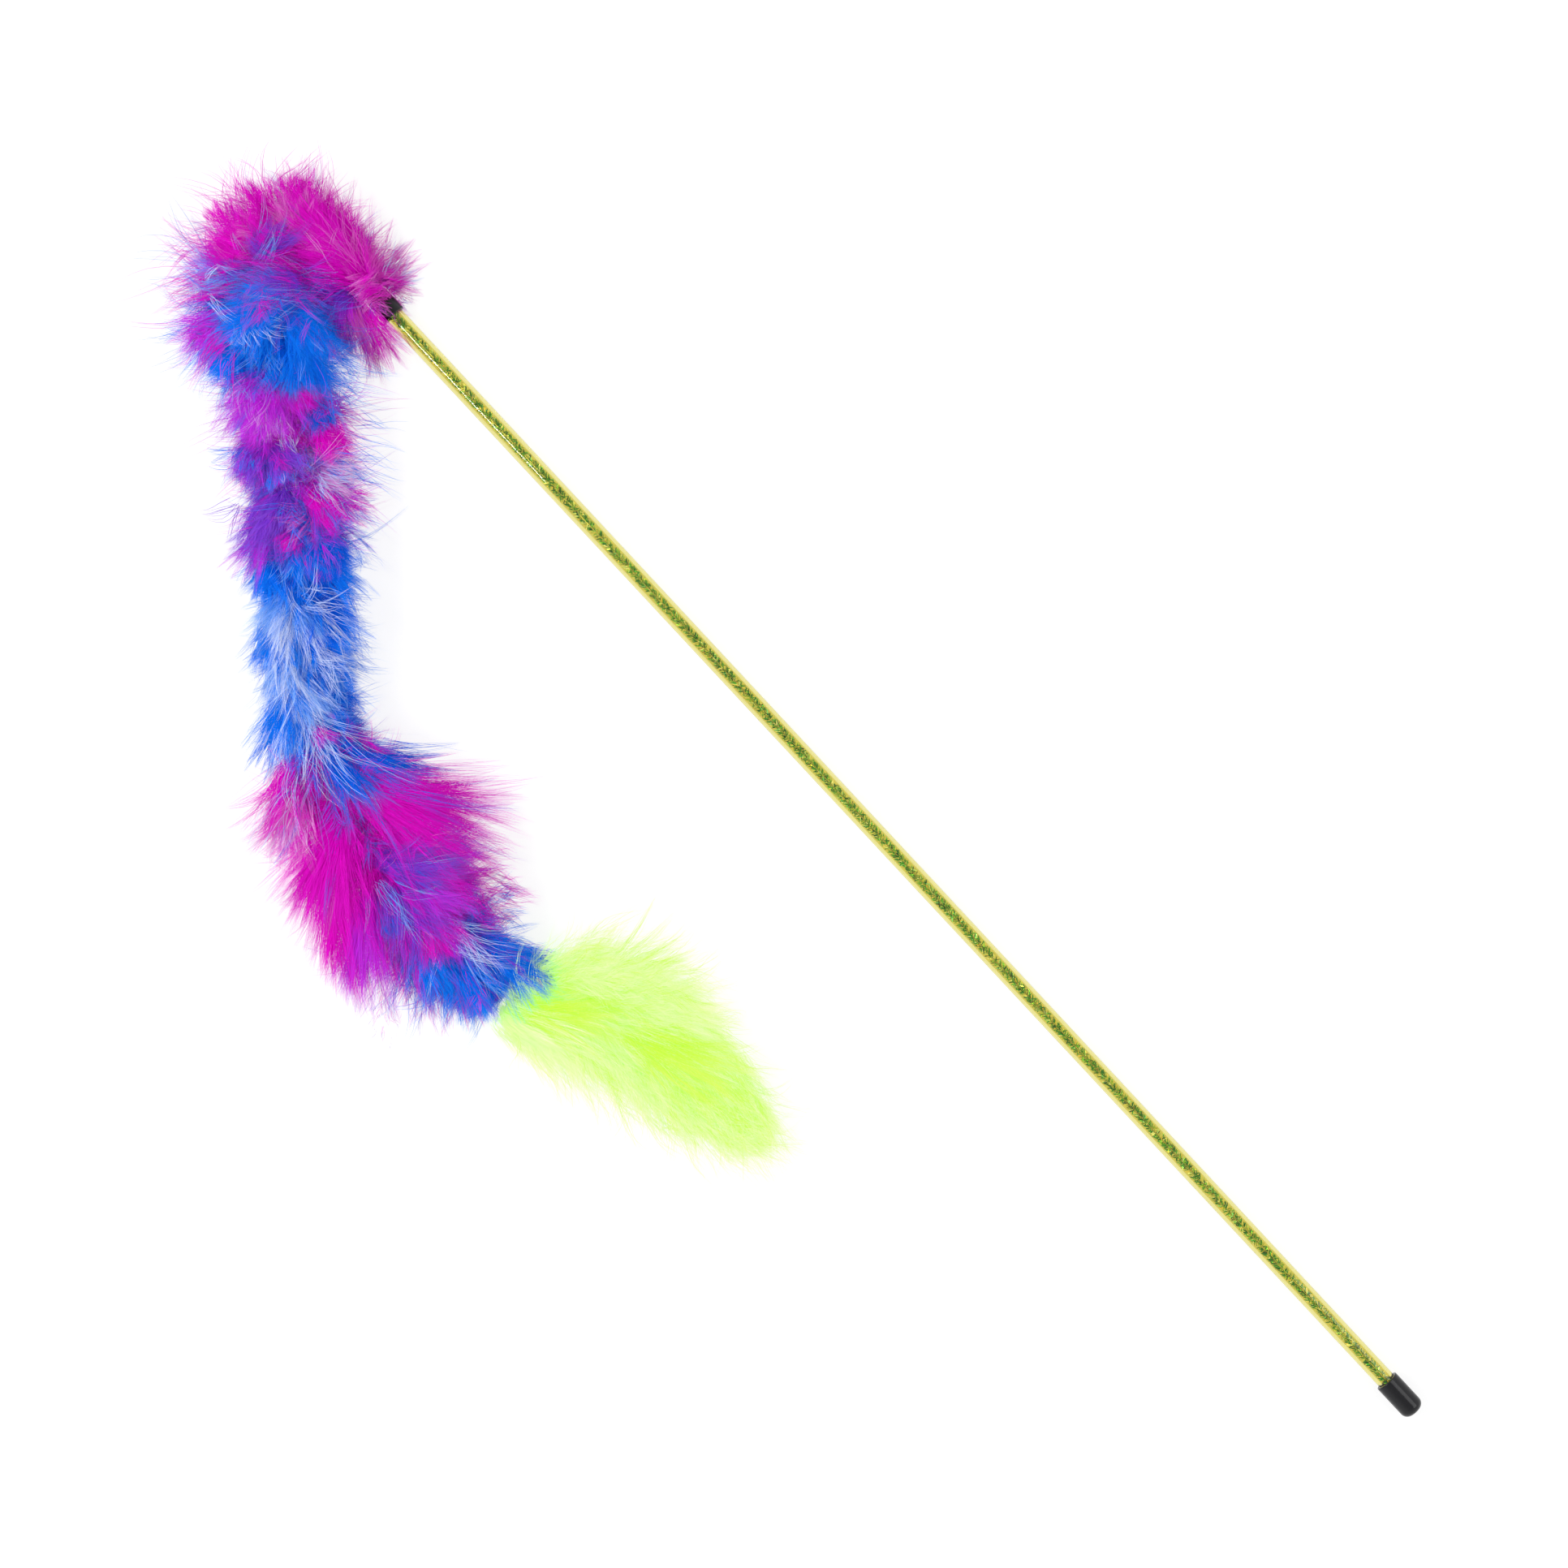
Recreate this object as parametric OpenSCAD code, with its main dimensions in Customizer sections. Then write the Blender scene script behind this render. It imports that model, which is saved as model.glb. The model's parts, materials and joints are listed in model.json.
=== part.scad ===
// Cat teaser wand: a clear tube with tinsel inside, a cap on each end and a boa of feather sections.
// Millimetres. The rod lies along X at z = 0 with its tip toward +X, and the boa curls back beside it.
// The boa is a chain of stiff sections on lengths of one cord, and each joint is a ball in a cup.

/* [Tube] */
// Cut length of the tube
tube_l = 508; // [300:1:900]
// Outside diameter of the tube
tube_od = 6.35; // [5:0.05:12]
// Wall of the tube
tube_wall = 1.2; // [0.6:0.05:2]

/* [End caps] */
// Side wall of both caps
cap_wall = 0.92; // [0.6:0.02:2]
// Thickness of the closed end of both caps
cap_end_t = 1.2; // [0.8:0.1:3]
// Length of the handle cap
handle_cap_l = 14.1; // [8:0.1:40]
// Length of the tip cap
tip_cap_l = 10.7; // [8:0.1:40]
// Rounding of the closed ends
cap_round_r = 2.6; // [0.5:0.1:4]
// Rounding of the open rims
cap_lip_r = 0.3; // [0.1:0.05:0.45]

/* [Cord] */
// Diameter of the core cord
cord_d = 1.5; // [1:0.1:3]
// Play of the cord in its hole and tunnels
cord_play = 0.12; // [0.05:0.01:0.5]
// Play between the cord lengths where they meet
cord_break = 0.3; // [0.1:0.05:1]
// Diameter of the knot inside the tube
knot_d = 3.5; // [2:0.1:6]
// Length of the knot
knot_l = 4.2; // [3:0.1:10]
// Diameter of the thread whippings on the cord
whipping_d = 3; // [2:0.1:5]
// Length of the thread whippings
whipping_l = 2.2; // [1:0.1:5]

/* [Tinsel] */
// Diameter of the twisted wire that carries the foil
wire_d = 0.6; // [0.3:0.05:1.2]
// Diameter of the foil's wrap on the wire
wrap_d = 1.1; // [0.8:0.05:2]
// Play between the foil tips and the bore
foil_play = 0.22; // [0.1:0.01:0.6]
// Width of a foil strip at its root
foil_w = 0.5; // [0.2:0.05:1]
// Number of foil strips
foil_count = 300; // [300:10:500]

/* [Boa route] */
// Length of the bare cord outside the tip cap
leader_l = 5.2; // [4:0.1:20]
// Straight start of the cord in the magenta section
magenta_start_l = 12; // [8:0.5:30]
// Radius of the cord's loop in the magenta section
magenta_loop_r = 15; // [12:0.5:40]
// Sweep of the cord's loop in the magenta section
magenta_loop_a = 140; // [90:1:150]
// Length of the blue section
blue_l = 36.3; // [34:0.1:80]
// Turn into the blue section
blue_turn = 5.8; // [0:0.1:10]
// Length of the orchid section
orchid_l = 52; // [36:0.5:90]
// Turn into the orchid section
orchid_turn = 0; // [-20:0.1:20]
// Length of the sky section
sky_l = 60; // [36:0.5:90]
// Turn into the sky section
sky_turn = -4.3; // [-20:0.1:20]
// Length of the rose section
rose_l = 57; // [36:0.5:90]
// Turn into the rose section
rose_turn = 25.3; // [-26:0.1:26]
// Length of the violet section
violet_l = 53; // [36:0.5:90]
// Turn into the violet section
violet_turn = 11.3; // [-20:0.1:20]
// Length of the neon tail
tail_l = 102; // [70:1:160]
// Turn into the neon tail
tail_turn = 27; // [-30:0.1:30]

/* [Feather sections] */
// Radius of the ball at the head of a section
ball_r = 12; // [8:0.1:16]
// Running gap of a ball in its cup
ball_play = 1.1; // [0.8:0.05:2]
// Height of the balls above the floor
ball_lift = 1.1; // [0.5:0.1:4]
// Radius of the fluff around the cord
fluff_r = 15; // [13.5:0.1:20]
// Reach of the magenta plumes from their middle
magenta_reach = 31; // [20:0.5:40]
// Reach of the blue plumes from the cord
blue_reach = 25; // [18:0.5:40]
// Reach of the orchid plumes from the cord
orchid_reach = 24; // [18:0.5:40]
// Reach of the sky plumes from the cord
sky_reach = 23; // [18:0.5:40]
// Reach of the rose plumes from the cord
rose_reach = 31; // [18:0.5:40]
// Reach of the violet plumes from the cord
violet_reach = 30; // [18:0.5:40]
// Length of a plume along the cord
plume_lean = 19; // [8:0.5:30]
// Width of a plume
plume_w = 8.5; // [3:0.1:12]
// Thickness of a plume
plume_t = 1.6; // [0.8:0.1:3]
// Distance from one ring of plumes to the next
ring_pitch = 9; // [5:0.5:20]
// Plumes in a ring
ring_count = 11; // [6:1:16]
// Bend that each joint leaves room for
bend_a = 30; // [10:1:35]
// Bend that the joint behind the magenta section leaves room for
uncurl_a = 60; // [10:1:70]

/* [Neon tail] */
// Radius of the ball at the head of the tail
tail_ball_r = 9; // [7:0.1:12]
// Half width of the tail's fluff
tail_half_w = 17; // [10:0.5:30]
// Half height of the tail's fluff
tail_half_h = 9.5; // [7:0.5:12]
// Reach of the neon plumes to the side
tail_reach = 29; // [18:0.5:45]
// Diameter of a quill at its root
quill_d = 1.4; // [0.8:0.1:3]
// Length of the middle quill
quill_l = 62; // [30:1:120]
// Angle between the quills
quill_fan_a = 9; // [4:0.5:12]

/* [Hidden] */
$fn = 48;

// What the named sizes give
over = 0.5 * tube_wall;
tube_r = tube_od / 2;
bore_r = tube_r - tube_wall;
cap_r = tube_r + cap_wall;
cord_r = cord_d / 2;
tunnel_r = cord_r + cord_play;
floor_z = -cap_r;
core_z = floor_z + ball_r + ball_lift;
cup_r = ball_r + ball_play;
tail_cup_r = tail_ball_r + ball_play;

// The mount's plane, at the end of the handle cap's straight wall, is x = 0
nose_x = -cap_round_r;
tube_x = nose_x + cap_end_t;
tip_x = tube_x + tube_l;
cord_x = tip_x + cap_end_t;

// Joints of the chain: leader, magenta, blue, orchid, sky, rose, violet, tail
loop_rise_a = asin(core_z / (magenta_loop_r * (1 - cos(magenta_loop_a))));
magenta_end = [
  magenta_start_l + magenta_loop_r * sin(magenta_loop_a),
  magenta_loop_r * (1 - cos(magenta_loop_a)) * cos(loop_rise_a),
  core_z
];
lengths = [leader_l, magenta_start_l, blue_l, orchid_l, sky_l, rose_l, violet_l, tail_l];
turns = [0, 0, magenta_loop_a + blue_turn, orchid_turn, sky_turn, rose_turn, violet_turn, tail_turn];
function heading(i) = i == 0 ? 0 : heading(i - 1) + turns[i];
function along(a) = [cos(a), sin(a), 0];
function joint(i) =
  i == 0 ? [cord_x, 0, 0]
  : i == 2 ? joint(1) + magenta_end
  : joint(i - 1) + lengths[i - 1] * along(heading(i - 1));

// Shape of a section's head and tail
head_cone_a = 50;
cone_play_a = 1.5;
skirt_a = head_cone_a + bend_a + cone_play_a;
flare_at_a = 50;
head_sides = 16;
side_share = cos(180 / head_sides);
neck_share = 1.05;
shoulder_share = 1.35;
wobble_share = 0.05;
rim_share = 0.42;
rim_wall_share = 1.2;
plume_rise_share = 0.92;
root_r = 0.6 * fluff_r;
root_share = 0.5;
belly_share = 0.55;
golden_a = 137.5;

function wobble(i, j) = sin(golden_a * i * i + 71 * j + 31 * i * j);
function mix(a, b, share) = a + (b - a) * share;
function unit(v) = v / norm(v);

echo(joints = [for (i = [0:7]) joint(i)], headings = [for (i = [0:7]) heading(i)]);

// One of the two triangles at point j between ring i and ring next, where a ring has n points
function patch(i, next, j, n, half) =
  let (a = i * n + j, b = i * n + (j + 1) % n, c = next * n + j, d = next * n + (j + 1) % n)
    half == 0 ? [a, c, d] : [a, d, b];

// Closed skin through rings of equal counts, where the last ring meets the first again
module closed_skin(rings) {
  n = len(rings[0]);
  m = len(rings);
  polyhedron(
    points = [for (ring = rings) each ring],
    faces = [for (i = [0:m - 1], j = [0:n - 1], half = [0, 1]) patch(i, (i + 1) % m, j, n, half)]
  );
}

// Skin through rings that is closed by a flat start and a pointed end
module capped_skin(rings, tip) {
  n = len(rings[0]);
  m = len(rings);
  polyhedron(
    points = concat([for (ring = rings) each ring], [tip]),
    faces = concat(
      [for (j = [1:n - 2]) [0, j, j + 1]],
      [for (i = [0:m - 2], j = [0:n - 1], half = [0, 1]) patch(i, i + 1, j, n, half)],
      [for (j = [0:n - 1]) [(m - 1) * n + j, m * n, (m - 1) * n + (j + 1) % n]]
    )
  );
}

// One plume: a flat leaf of four sides from its root to its pointed tip, its flat side toward face
module plume(root, tip, w, face) {
  run = unit(tip - root);
  side = unit(cross(face, run));
  out = cross(run, side);
  function leaf(share, width_share, bow) =
    let (c = mix(root, tip, share) + out * bow, a = side * w * width_share / 2, b = out * plume_t / 2)
      [c - a, c - b, c + a, c + b];
  capped_skin([leaf(0, root_share, 0), leaf(belly_share, 1, plume_t)], tip);
}

// Places a section's own frame at its joint: x along the cord, z up
module at_joint(i) {
  translate(joint(i)) rotate([0, 0, heading(i)]) children();
}

module above_floor(i, size) {
  intersection() {
    children();
    translate([-size, -size, floor_z - joint(i).z]) cube([2 * size, 2 * size, size]);
  }
}

// Ring of points around the cord, at x = s
function ring(s, r, k, wobble_by) =
  [for (j = [0:head_sides - 1])
    let (a = 360 * j / head_sides, q = r * (1 + wobble_by * wobble(k, j)))
      [s, q * cos(a), q * sin(a)]];

function ball_rings(r) =
  [for (a = [flare_at_a, 75, 100, 180 - head_cone_a]) ring(-r * cos(a), r * sin(a), 0, 0)];

function tunnel_front(r) = ring(1.2 * cord_d, r, 0, 0);

// Fluff around the cord, with a ball at its head, the cord's tunnel, and a cup at its tail with a
// flat seat for the whipping
module fluff(l, tail_r) {
  rim = rim_share * ball_r;
  bore = tunnel_r / side_share;
  seat = (whipping_d / 2 + cord_play) / side_share;
  body_from = shoulder_share * ball_r;
  body_to = l - rim;
  end_r = min(fluff_r, tail_r + rim_wall_share * plume_t);
  steps = max(1, round((body_to - body_from) / ring_pitch));
  rim_a = acos(rim / tail_r);
  closed_skin(concat(
    ball_rings(ball_r),
    [ring(neck_share * ball_r, neck_share * ball_r * tan(head_cone_a) - plume_t, 0, 0)],
    [
      for (k = [0:steps])
        ring(mix(body_from, body_to, k / steps), mix(fluff_r, end_r, pow(k / steps, 2)), k + l, wobble_share)
    ],
    [for (a = [rim_a, 2 * rim_a / 3, rim_a / 3]) ring(l - tail_r * cos(a), tail_r * sin(a), 0, 0)],
    [ring(l - tail_r, seat, 0, 0), ring(l - tail_r, bore, 0, 0), tunnel_front(bore)]
  ));
}

// Highest place along the cord for a plume's tip at u, w beside joint i + 1, clear of the next section
function tip_limit(i, l, u, w) =
  let (turn = heading(i + 1) - heading(i))
    l + (norm([u, w]) / tan(skirt_a) - u * sin(turn) - plume_t) / cos(turn);

// Rings of plumes along a section, kept out of the swings at its two joints
module plumes(i, l, reach, tail_r) {
  first = 0.7 * ball_r;
  last = l - tail_r - plume_t;
  rings = floor((last - first) / ring_pitch);
  pitch = (last - first) / rings;
  for (k = [0:rings], j = [0:ring_count - 1]) {
    a = 360 * (j + 0.5 * (k % 2)) / ring_count + 9 * wobble(k, j + i);
    s = first + pitch * k;
    e = s + plume_lean * (1 + 0.12 * wobble(j, k + i));
    q = min(reach * (0.9 + 0.12 * wobble(j + i, k)), (e - plume_t) * tan(head_cone_a) - plume_w / 4);
    u = q * cos(a);
    w = max(q * sin(a) * plume_rise_share, floor_z - core_z + plume_t);
    root = [s, root_r * cos(a), root_r * sin(a)];
    tip = [min(e, tip_limit(i, l, u, w)), u, w];
    plume(root, tip, plume_w, [0, cos(a), sin(a)]);
  }
}

module plume_section(i, reach, tail_r) {
  l = lengths[i];
  at_joint(i) above_floor(i, l + reach + plume_lean) {
    union() {
      fluff(l, tail_r);
      plumes(i, l, reach, tail_r);
    }
  }
}

// Straight length of cord from joint i to the next, rounded at the far end
module cord_run(i) {
  at_joint(i) rotate([0, 90, 0]) {
    translate([0, 0, cord_r + cord_break]) cylinder(r = cord_r, h = lengths[i] - cord_r - cord_break);
    translate([0, 0, lengths[i]]) sphere(r = cord_r);
  }
}

// Thread wound on the cord against the bottom of the cup
module whipping(i, tail_r) {
  at_joint(i) translate([lengths[i] - tail_r, 0, 0]) rotate([0, 90, 0]) difference() {
    cylinder(d = whipping_d, h = whipping_l);
    translate([0, 0, -over]) cylinder(r = cord_r, h = whipping_l + 2 * over);
  }
}

module rod_tube() {
  color([0.86, 0.8, 0.32, 0.55]) translate([tube_x, 0, 0]) rotate([0, 90, 0]) difference() {
    cylinder(r = tube_r, h = tube_l);
    translate([0, 0, -over]) cylinder(r = bore_r, h = tube_l + 2 * over);
  }
}

// Half outline of a cap, from the axis at its closed end round to the open rim and back inside
module cap_outline(l, hole_r) {
  difference() {
    union() {
      translate([hole_r, cap_round_r]) square([cap_r - hole_r, l - cap_round_r - cap_lip_r]);
      translate([hole_r, 0]) square([cap_r - cap_round_r - hole_r, cap_round_r]);
      intersection() {
        translate([cap_r - cap_round_r, cap_round_r]) circle(r = cap_round_r);
        translate([cap_r - cap_round_r, 0]) square(cap_round_r);
      }
      translate([cap_r - cap_lip_r, l - cap_lip_r]) circle(r = cap_lip_r);
      translate([tube_r, l - 2 * cap_lip_r]) square([cap_wall - cap_lip_r, 2 * cap_lip_r]);
    }
    translate([-over, cap_end_t]) square([tube_r + over, l]);
  }
}

module handle_cap() {
  color([0.08, 0.08, 0.09]) translate([nose_x, 0, 0]) rotate([0, 90, 0])
    rotate_extrude() cap_outline(handle_cap_l, 0);
}

module tip_cap() {
  color([0.08, 0.08, 0.09]) translate([cord_x, 0, 0]) rotate([0, -90, 0])
    rotate_extrude() cap_outline(tip_cap_l, cord_r + cord_play);
}

// Where the wire runs: from the handle cap's floor to the back of the knot
wire_l = tube_l - knot_l;
foil_r = bore_r - foil_play;
wrap_sides = 10;

module foil_strip(x, a) {
  tilt = 0.5 * foil_w;
  side = [0, -sin(a), cos(a)] * foil_w / 2;
  up = [0, cos(a), sin(a)];
  root = [x, 0, 0] + up * wire_d / 2;
  polyhedron(
    points = [root - side, root + side, root + [foil_w, 0, 0], [x + tilt, 0, 0] + up * foil_r],
    faces = [[0, 1, 2], [0, 3, 1], [1, 3, 2], [2, 3, 0]]
  );
}

module tinsel_foil() {
  pitch = (wire_l - 2 * foil_w) / foil_count;
  color([0.25, 0.6, 0.22]) difference() {
    union() {
      translate([tube_x + foil_w, 0, 0]) rotate([0, 90, 0])
        cylinder(d = wrap_d, h = wire_l - 2 * foil_w, $fn = wrap_sides);
      for (k = [0:foil_count - 1])
        foil_strip(tube_x + foil_w + pitch * k, golden_a * k);
    }
    translate([tube_x, 0, 0]) rotate([0, 90, 0])
      cylinder(d = wire_d / cos(180 / wrap_sides), h = wire_l, $fn = wrap_sides);
  }
}

module tinsel_wire() {
  color([0.6, 0.6, 0.58]) translate([tube_x, 0, 0]) rotate([0, 90, 0])
    cylinder(d = wire_d, h = wire_l);
}

// Knot against the tip cap's floor, with the cord's stub through the hole
module cord_knot() {
  color([0.15, 0.15, 0.16]) rotate([0, 90, 0]) {
    translate([0, 0, tip_x - knot_l / 2]) rotate_extrude() intersection() {
      scale([knot_d / knot_l, 1]) circle(d = knot_l);
      translate([0, -knot_l / 2]) square([knot_d / 2, knot_l]);
    }
    translate([0, 0, tip_x - knot_l / 2]) cylinder(r = cord_r, h = knot_l / 2 + cap_end_t);
    translate([0, 0, cord_x]) sphere(r = cord_r);
  }
}

module cord_leader() {
  color([0.15, 0.15, 0.16]) cord_run(0);
}

// Cord of the magenta section: a straight start and a loop that tilts up to the core's height
module magenta_route(r, start) {
  function loop_at(a) = [magenta_start_l + magenta_loop_r * sin(a), magenta_loop_r * (1 - cos(a)), 0];
  function loop_ring(c, a) =
    [for (j = [0:head_sides - 1])
      let (b = 360 * j / head_sides)
        c + r * cos(b) * [-sin(a), cos(a), 0] + [0, 0, r * sin(b)]];
  rotate([loop_rise_a, 0, 0]) capped_skin(
    concat(
      [loop_ring([start, 0, 0], 0)],
      [
        for (k = [0:head_sides])
          let (a = magenta_loop_a * k / head_sides)
            loop_ring(loop_at(a), a)
      ]
    ),
    loop_at(magenta_loop_a) + r / 2 * along(magenta_loop_a)
  );
}

module magenta_cord() {
  color([0.55, 0.1, 0.5]) translate(joint(1)) magenta_route(cord_r, cord_r + cord_break);
}

// Middle of the magenta tuft, and the plane behind it that the next section swings up to
magenta_mid = [magenta_start_l + magenta_loop_r, magenta_loop_r / 2, core_z];
magenta_beyond = 4 * magenta_reach;
magenta_body_share = 0.66;
magenta_neck_share = 0.72;
magenta_root_share = 0.4;
fan_a = heading(2) + (bend_a / 3 - uncurl_a) / 2;

// Directions of the magenta plumes, spread evenly and kept out of the swings at the two joints
function magenta_tips(count) = [
  for (k = [0:count - 1])
    let (
      up = -0.25 + 1.25 * (k + 0.5) / count,
      a = golden_a * k,
      q = magenta_reach * (0.93 + 0.1 * wobble(k, 3)),
      flat = q * sqrt(1 - up * up),
      tip = [flat * cos(a), flat * sin(a), max(q * up * plume_rise_share, floor_z - core_z + plume_t)],
      from_end = tip + magenta_mid - magenta_end
    )
      if (tip.x + magenta_mid.x > plume_t && from_end * along(fan_a) < -plume_t) [tip, a, up]
];

module magenta_body() {
  r = magenta_body_share * magenta_reach;
  n = head_sides;
  rows = head_sides / 2;
  low = (rows - 1) * n;
  translate(magenta_mid) polyhedron(
    points = concat(
      [
        for (k = [1:rows - 1], j = [0:n - 1])
          let (e = -90 + 180 * k / rows, a = 360 * j / n, q = r * (1 + wobble_share * wobble(k, j)))
            [q * cos(e) * cos(a), q * cos(e) * sin(a), q * sin(e) * plume_rise_share]
      ],
      [[0, 0, -r * plume_rise_share], [0, 0, r * plume_rise_share]]
    ),
    faces = concat(
      [for (k = [0:rows - 3], j = [0:n - 1], half = [0, 1]) patch(k, k + 1, j, n, half)],
      [for (j = [0:n - 1]) [low, j, (j + 1) % n]],
      [for (j = [0:n - 1]) [low - n + j, low + 1, low - n + (j + 1) % n]]
    )
  );
}

module magenta_plume() {
  color([0.8, 0.05, 0.62]) translate(joint(1)) above_floor(1, magenta_beyond) difference() {
    union() {
      magenta_body();
      translate([cord_r + cord_break, 0, 0]) rotate([0, 90, 0])
        cylinder(r1 = knot_d, r2 = magenta_neck_share * fluff_r, h = magenta_start_l, $fn = head_sides);
      for (t = magenta_tips(6 * ring_count)) {
        face = [-cos(t[1]) * t[2], -sin(t[1]) * t[2], sqrt(1 - t[2] * t[2])];
        plume(magenta_mid + magenta_root_share * t[0], magenta_mid + t[0], plume_w, face);
      }
    }
    magenta_route(tunnel_r / side_share, -over);
    translate(magenta_end) sphere(r = cup_r, $fn = 2 * head_sides);
    translate(magenta_end) rotate([0, 0, fan_a]) translate([0, -magenta_beyond, -magenta_beyond])
      cube(2 * magenta_beyond);
  }
}

// Thread on the loop, inside the cup and just clear of its wall
module magenta_whipping() {
  from_joint = cup_r - 0.3 * whipping_d;
  color([0.9, 0.9, 0.88]) translate(joint(1)) rotate([loop_rise_a, 0, 0])
    translate([magenta_start_l, magenta_loop_r, 0])
    rotate([0, 0, magenta_loop_a - 2 * asin(from_joint / 2 / magenta_loop_r) - 90])
    difference() {
      rotate_extrude(angle = whipping_l / magenta_loop_r * 180 / PI)
        translate([magenta_loop_r, 0]) circle(d = whipping_d);
      rotate_extrude() translate([magenta_loop_r, 0]) circle(r = tunnel_r);
    }
}

module blue_cord() {
  color([0.1, 0.3, 0.75]) cord_run(2);
}

module blue_plume() {
  color([0.05, 0.38, 0.85]) plume_section(2, blue_reach, cup_r);
}

module blue_whipping() {
  color([0.9, 0.9, 0.88]) whipping(2, cup_r);
}

module orchid_cord() {
  color([0.55, 0.1, 0.5]) cord_run(3);
}

module orchid_plume() {
  color([0.66, 0.16, 0.78]) plume_section(3, orchid_reach, cup_r);
}

module orchid_whipping() {
  color([0.9, 0.9, 0.88]) whipping(3, cup_r);
}

module sky_cord() {
  color([0.1, 0.3, 0.75]) cord_run(4);
}

module sky_plume() {
  color([0.2, 0.5, 0.9]) plume_section(4, sky_reach, cup_r);
}

module sky_whipping() {
  color([0.9, 0.9, 0.88]) whipping(4, cup_r);
}

module rose_cord() {
  color([0.55, 0.1, 0.5]) cord_run(5);
}

module rose_plume() {
  color([0.84, 0.05, 0.66]) plume_section(5, rose_reach, cup_r);
}

module rose_whipping() {
  color([0.9, 0.9, 0.88]) whipping(5, cup_r);
}

module violet_cord() {
  color([0.3, 0.1, 0.6]) cord_run(6);
}

module violet_plume() {
  color([0.42, 0.2, 0.8]) plume_section(6, violet_reach, tail_cup_r);
}

module violet_whipping() {
  color([0.9, 0.9, 0.88]) whipping(6, tail_cup_r);
}

// Outline of the tail: share of its length, of its half width and of its half height
tail_shares = [
  [0.08, 0.4, 0.7], [0.2, 0.66, 0.9], [0.34, 0.92, 1], [0.5, 1, 1], [0.66, 0.92, 0.85], [0.8, 0.66, 0.6],
  [0.9, 0.42, 0.4], [1, 0.16, 0.2]
];
tail_body_share = 0.86;
function tail_wide(x) = lookup(x, [for (t = tail_shares) [t[0], t[1]]]);
function tail_high(x) = lookup(x, [for (t = tail_shares) [t[0], t[2]]]);

// How far the tail's middle has sunk from the cord's height at s
tail_sag = core_z - floor_z - tail_half_h;
function tail_drop(s) = tail_sag * min(1, 2 * s / tail_l);

function tail_ring(s, k) =
  let (x = s / tail_l, wide = tail_half_w * tail_wide(x), high = tail_half_h * tail_high(x))
    [for (j = [0:head_sides - 1])
      let (a = 360 * j / head_sides, q = 1 + wobble_share * wobble(k, j))
        [s, q * wide * cos(a), q * high * sin(a) - tail_drop(s)]];

module tail_body() {
  from = shoulder_share * tail_ball_r;
  to = tail_body_share * tail_l;
  steps = round((to - from) / (1.5 * ring_pitch));
  capped_skin(
    concat(
      [tunnel_front(tunnel_r / side_share)],
      ball_rings(tail_ball_r),
      [for (k = [0:steps]) tail_ring(mix(from, to, k / steps), k)]
    ),
    [0.5 * (to + tail_l), 0, -tail_sag]
  );
}

module tail_plumes() {
  first = 1.4 * tail_ball_r;
  last = tail_l - 1.1 * plume_lean;
  rings = round((last - first) / ring_pitch);
  for (k = [0:rings], j = [0:ring_count - 1]) {
    a = 360 * (j + 0.5 * (k % 2)) / ring_count + 9 * wobble(k, j);
    s = mix(first, last, k / rings);
    e = s + plume_lean * (1 + 0.12 * wobble(j, k));
    x = e / tail_l;
    q = 0.94 + 0.08 * wobble(j, k + 2);
    u = q * tail_reach * tail_wide(x) * cos(a);
    w = q * 1.3 * tail_half_h * tail_high(x) * sin(a) - tail_sag;
    root_u = 0.35 * tail_half_w * tail_wide(s / tail_l) * cos(a);
    root = [s, root_u, 0.3 * tail_half_h * sin(a) - tail_drop(s)];
    tip = [e, u, max(w, floor_z - core_z + plume_t)];
    plume(root, tip, plume_w, [0, cos(a) / 2, sin(a)]);
  }
}

// Three quills of eight sides that spread from one root under the thread
quill_side_share = 0.8;
quill_from = 2 * cord_d;
quill_root_r = quill_d;
quill_wrap_r = quill_root_r + (whipping_d - cord_d) / 2;

module quills(play) {
  for (a = [-quill_fan_a, 0, quill_fan_a])
    translate([quill_from + whipping_l / 2, 0, 0]) rotate([0, 90, a])
      cylinder(
        d1 = quill_d + 2 * play, d2 = quill_d / 2 + 2 * play,
        h = quill_l * (a == 0 ? 1 : quill_side_share) + play, $fn = 8
      );
}

module neon_plume() {
  color([0.82, 1, 0.35]) at_joint(7) above_floor(7, 2 * tail_l) difference() {
    union() {
      tail_body();
      tail_plumes();
    }
    quills(cord_play);
    translate([quill_from - cord_play, 0, 0]) rotate([0, 90, 0])
      cylinder(r = quill_wrap_r + cord_play, h = whipping_l + 2 * cord_play, $fn = 12);
  }
}

module neon_quills() {
  color([0.93, 0.95, 0.75]) at_joint(7) {
    quills(0);
    translate([quill_from, 0, 0]) rotate([0, 90, 0]) cylinder(r = quill_root_r, h = whipping_l);
  }
}

module neon_whipping() {
  color([0.9, 0.9, 0.88]) at_joint(7) translate([quill_from, 0, 0]) rotate([0, 90, 0]) difference() {
    cylinder(r = quill_wrap_r, h = whipping_l);
    translate([0, 0, -over]) cylinder(r = quill_root_r, h = whipping_l + 2 * over);
  }
}

rod_tube();
handle_cap();
tip_cap();
tinsel_foil();
tinsel_wire();
cord_knot();
cord_leader();
magenta_cord();
magenta_plume();
magenta_whipping();
blue_cord();
blue_plume();
blue_whipping();
orchid_cord();
orchid_plume();
orchid_whipping();
sky_cord();
sky_plume();
sky_whipping();
rose_cord();
rose_plume();
rose_whipping();
violet_cord();
violet_plume();
violet_whipping();
neon_plume();
neon_quills();
neon_whipping();
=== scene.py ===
import json
import math
import bpy
import numpy as np
from mathutils import Matrix, Vector


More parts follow.
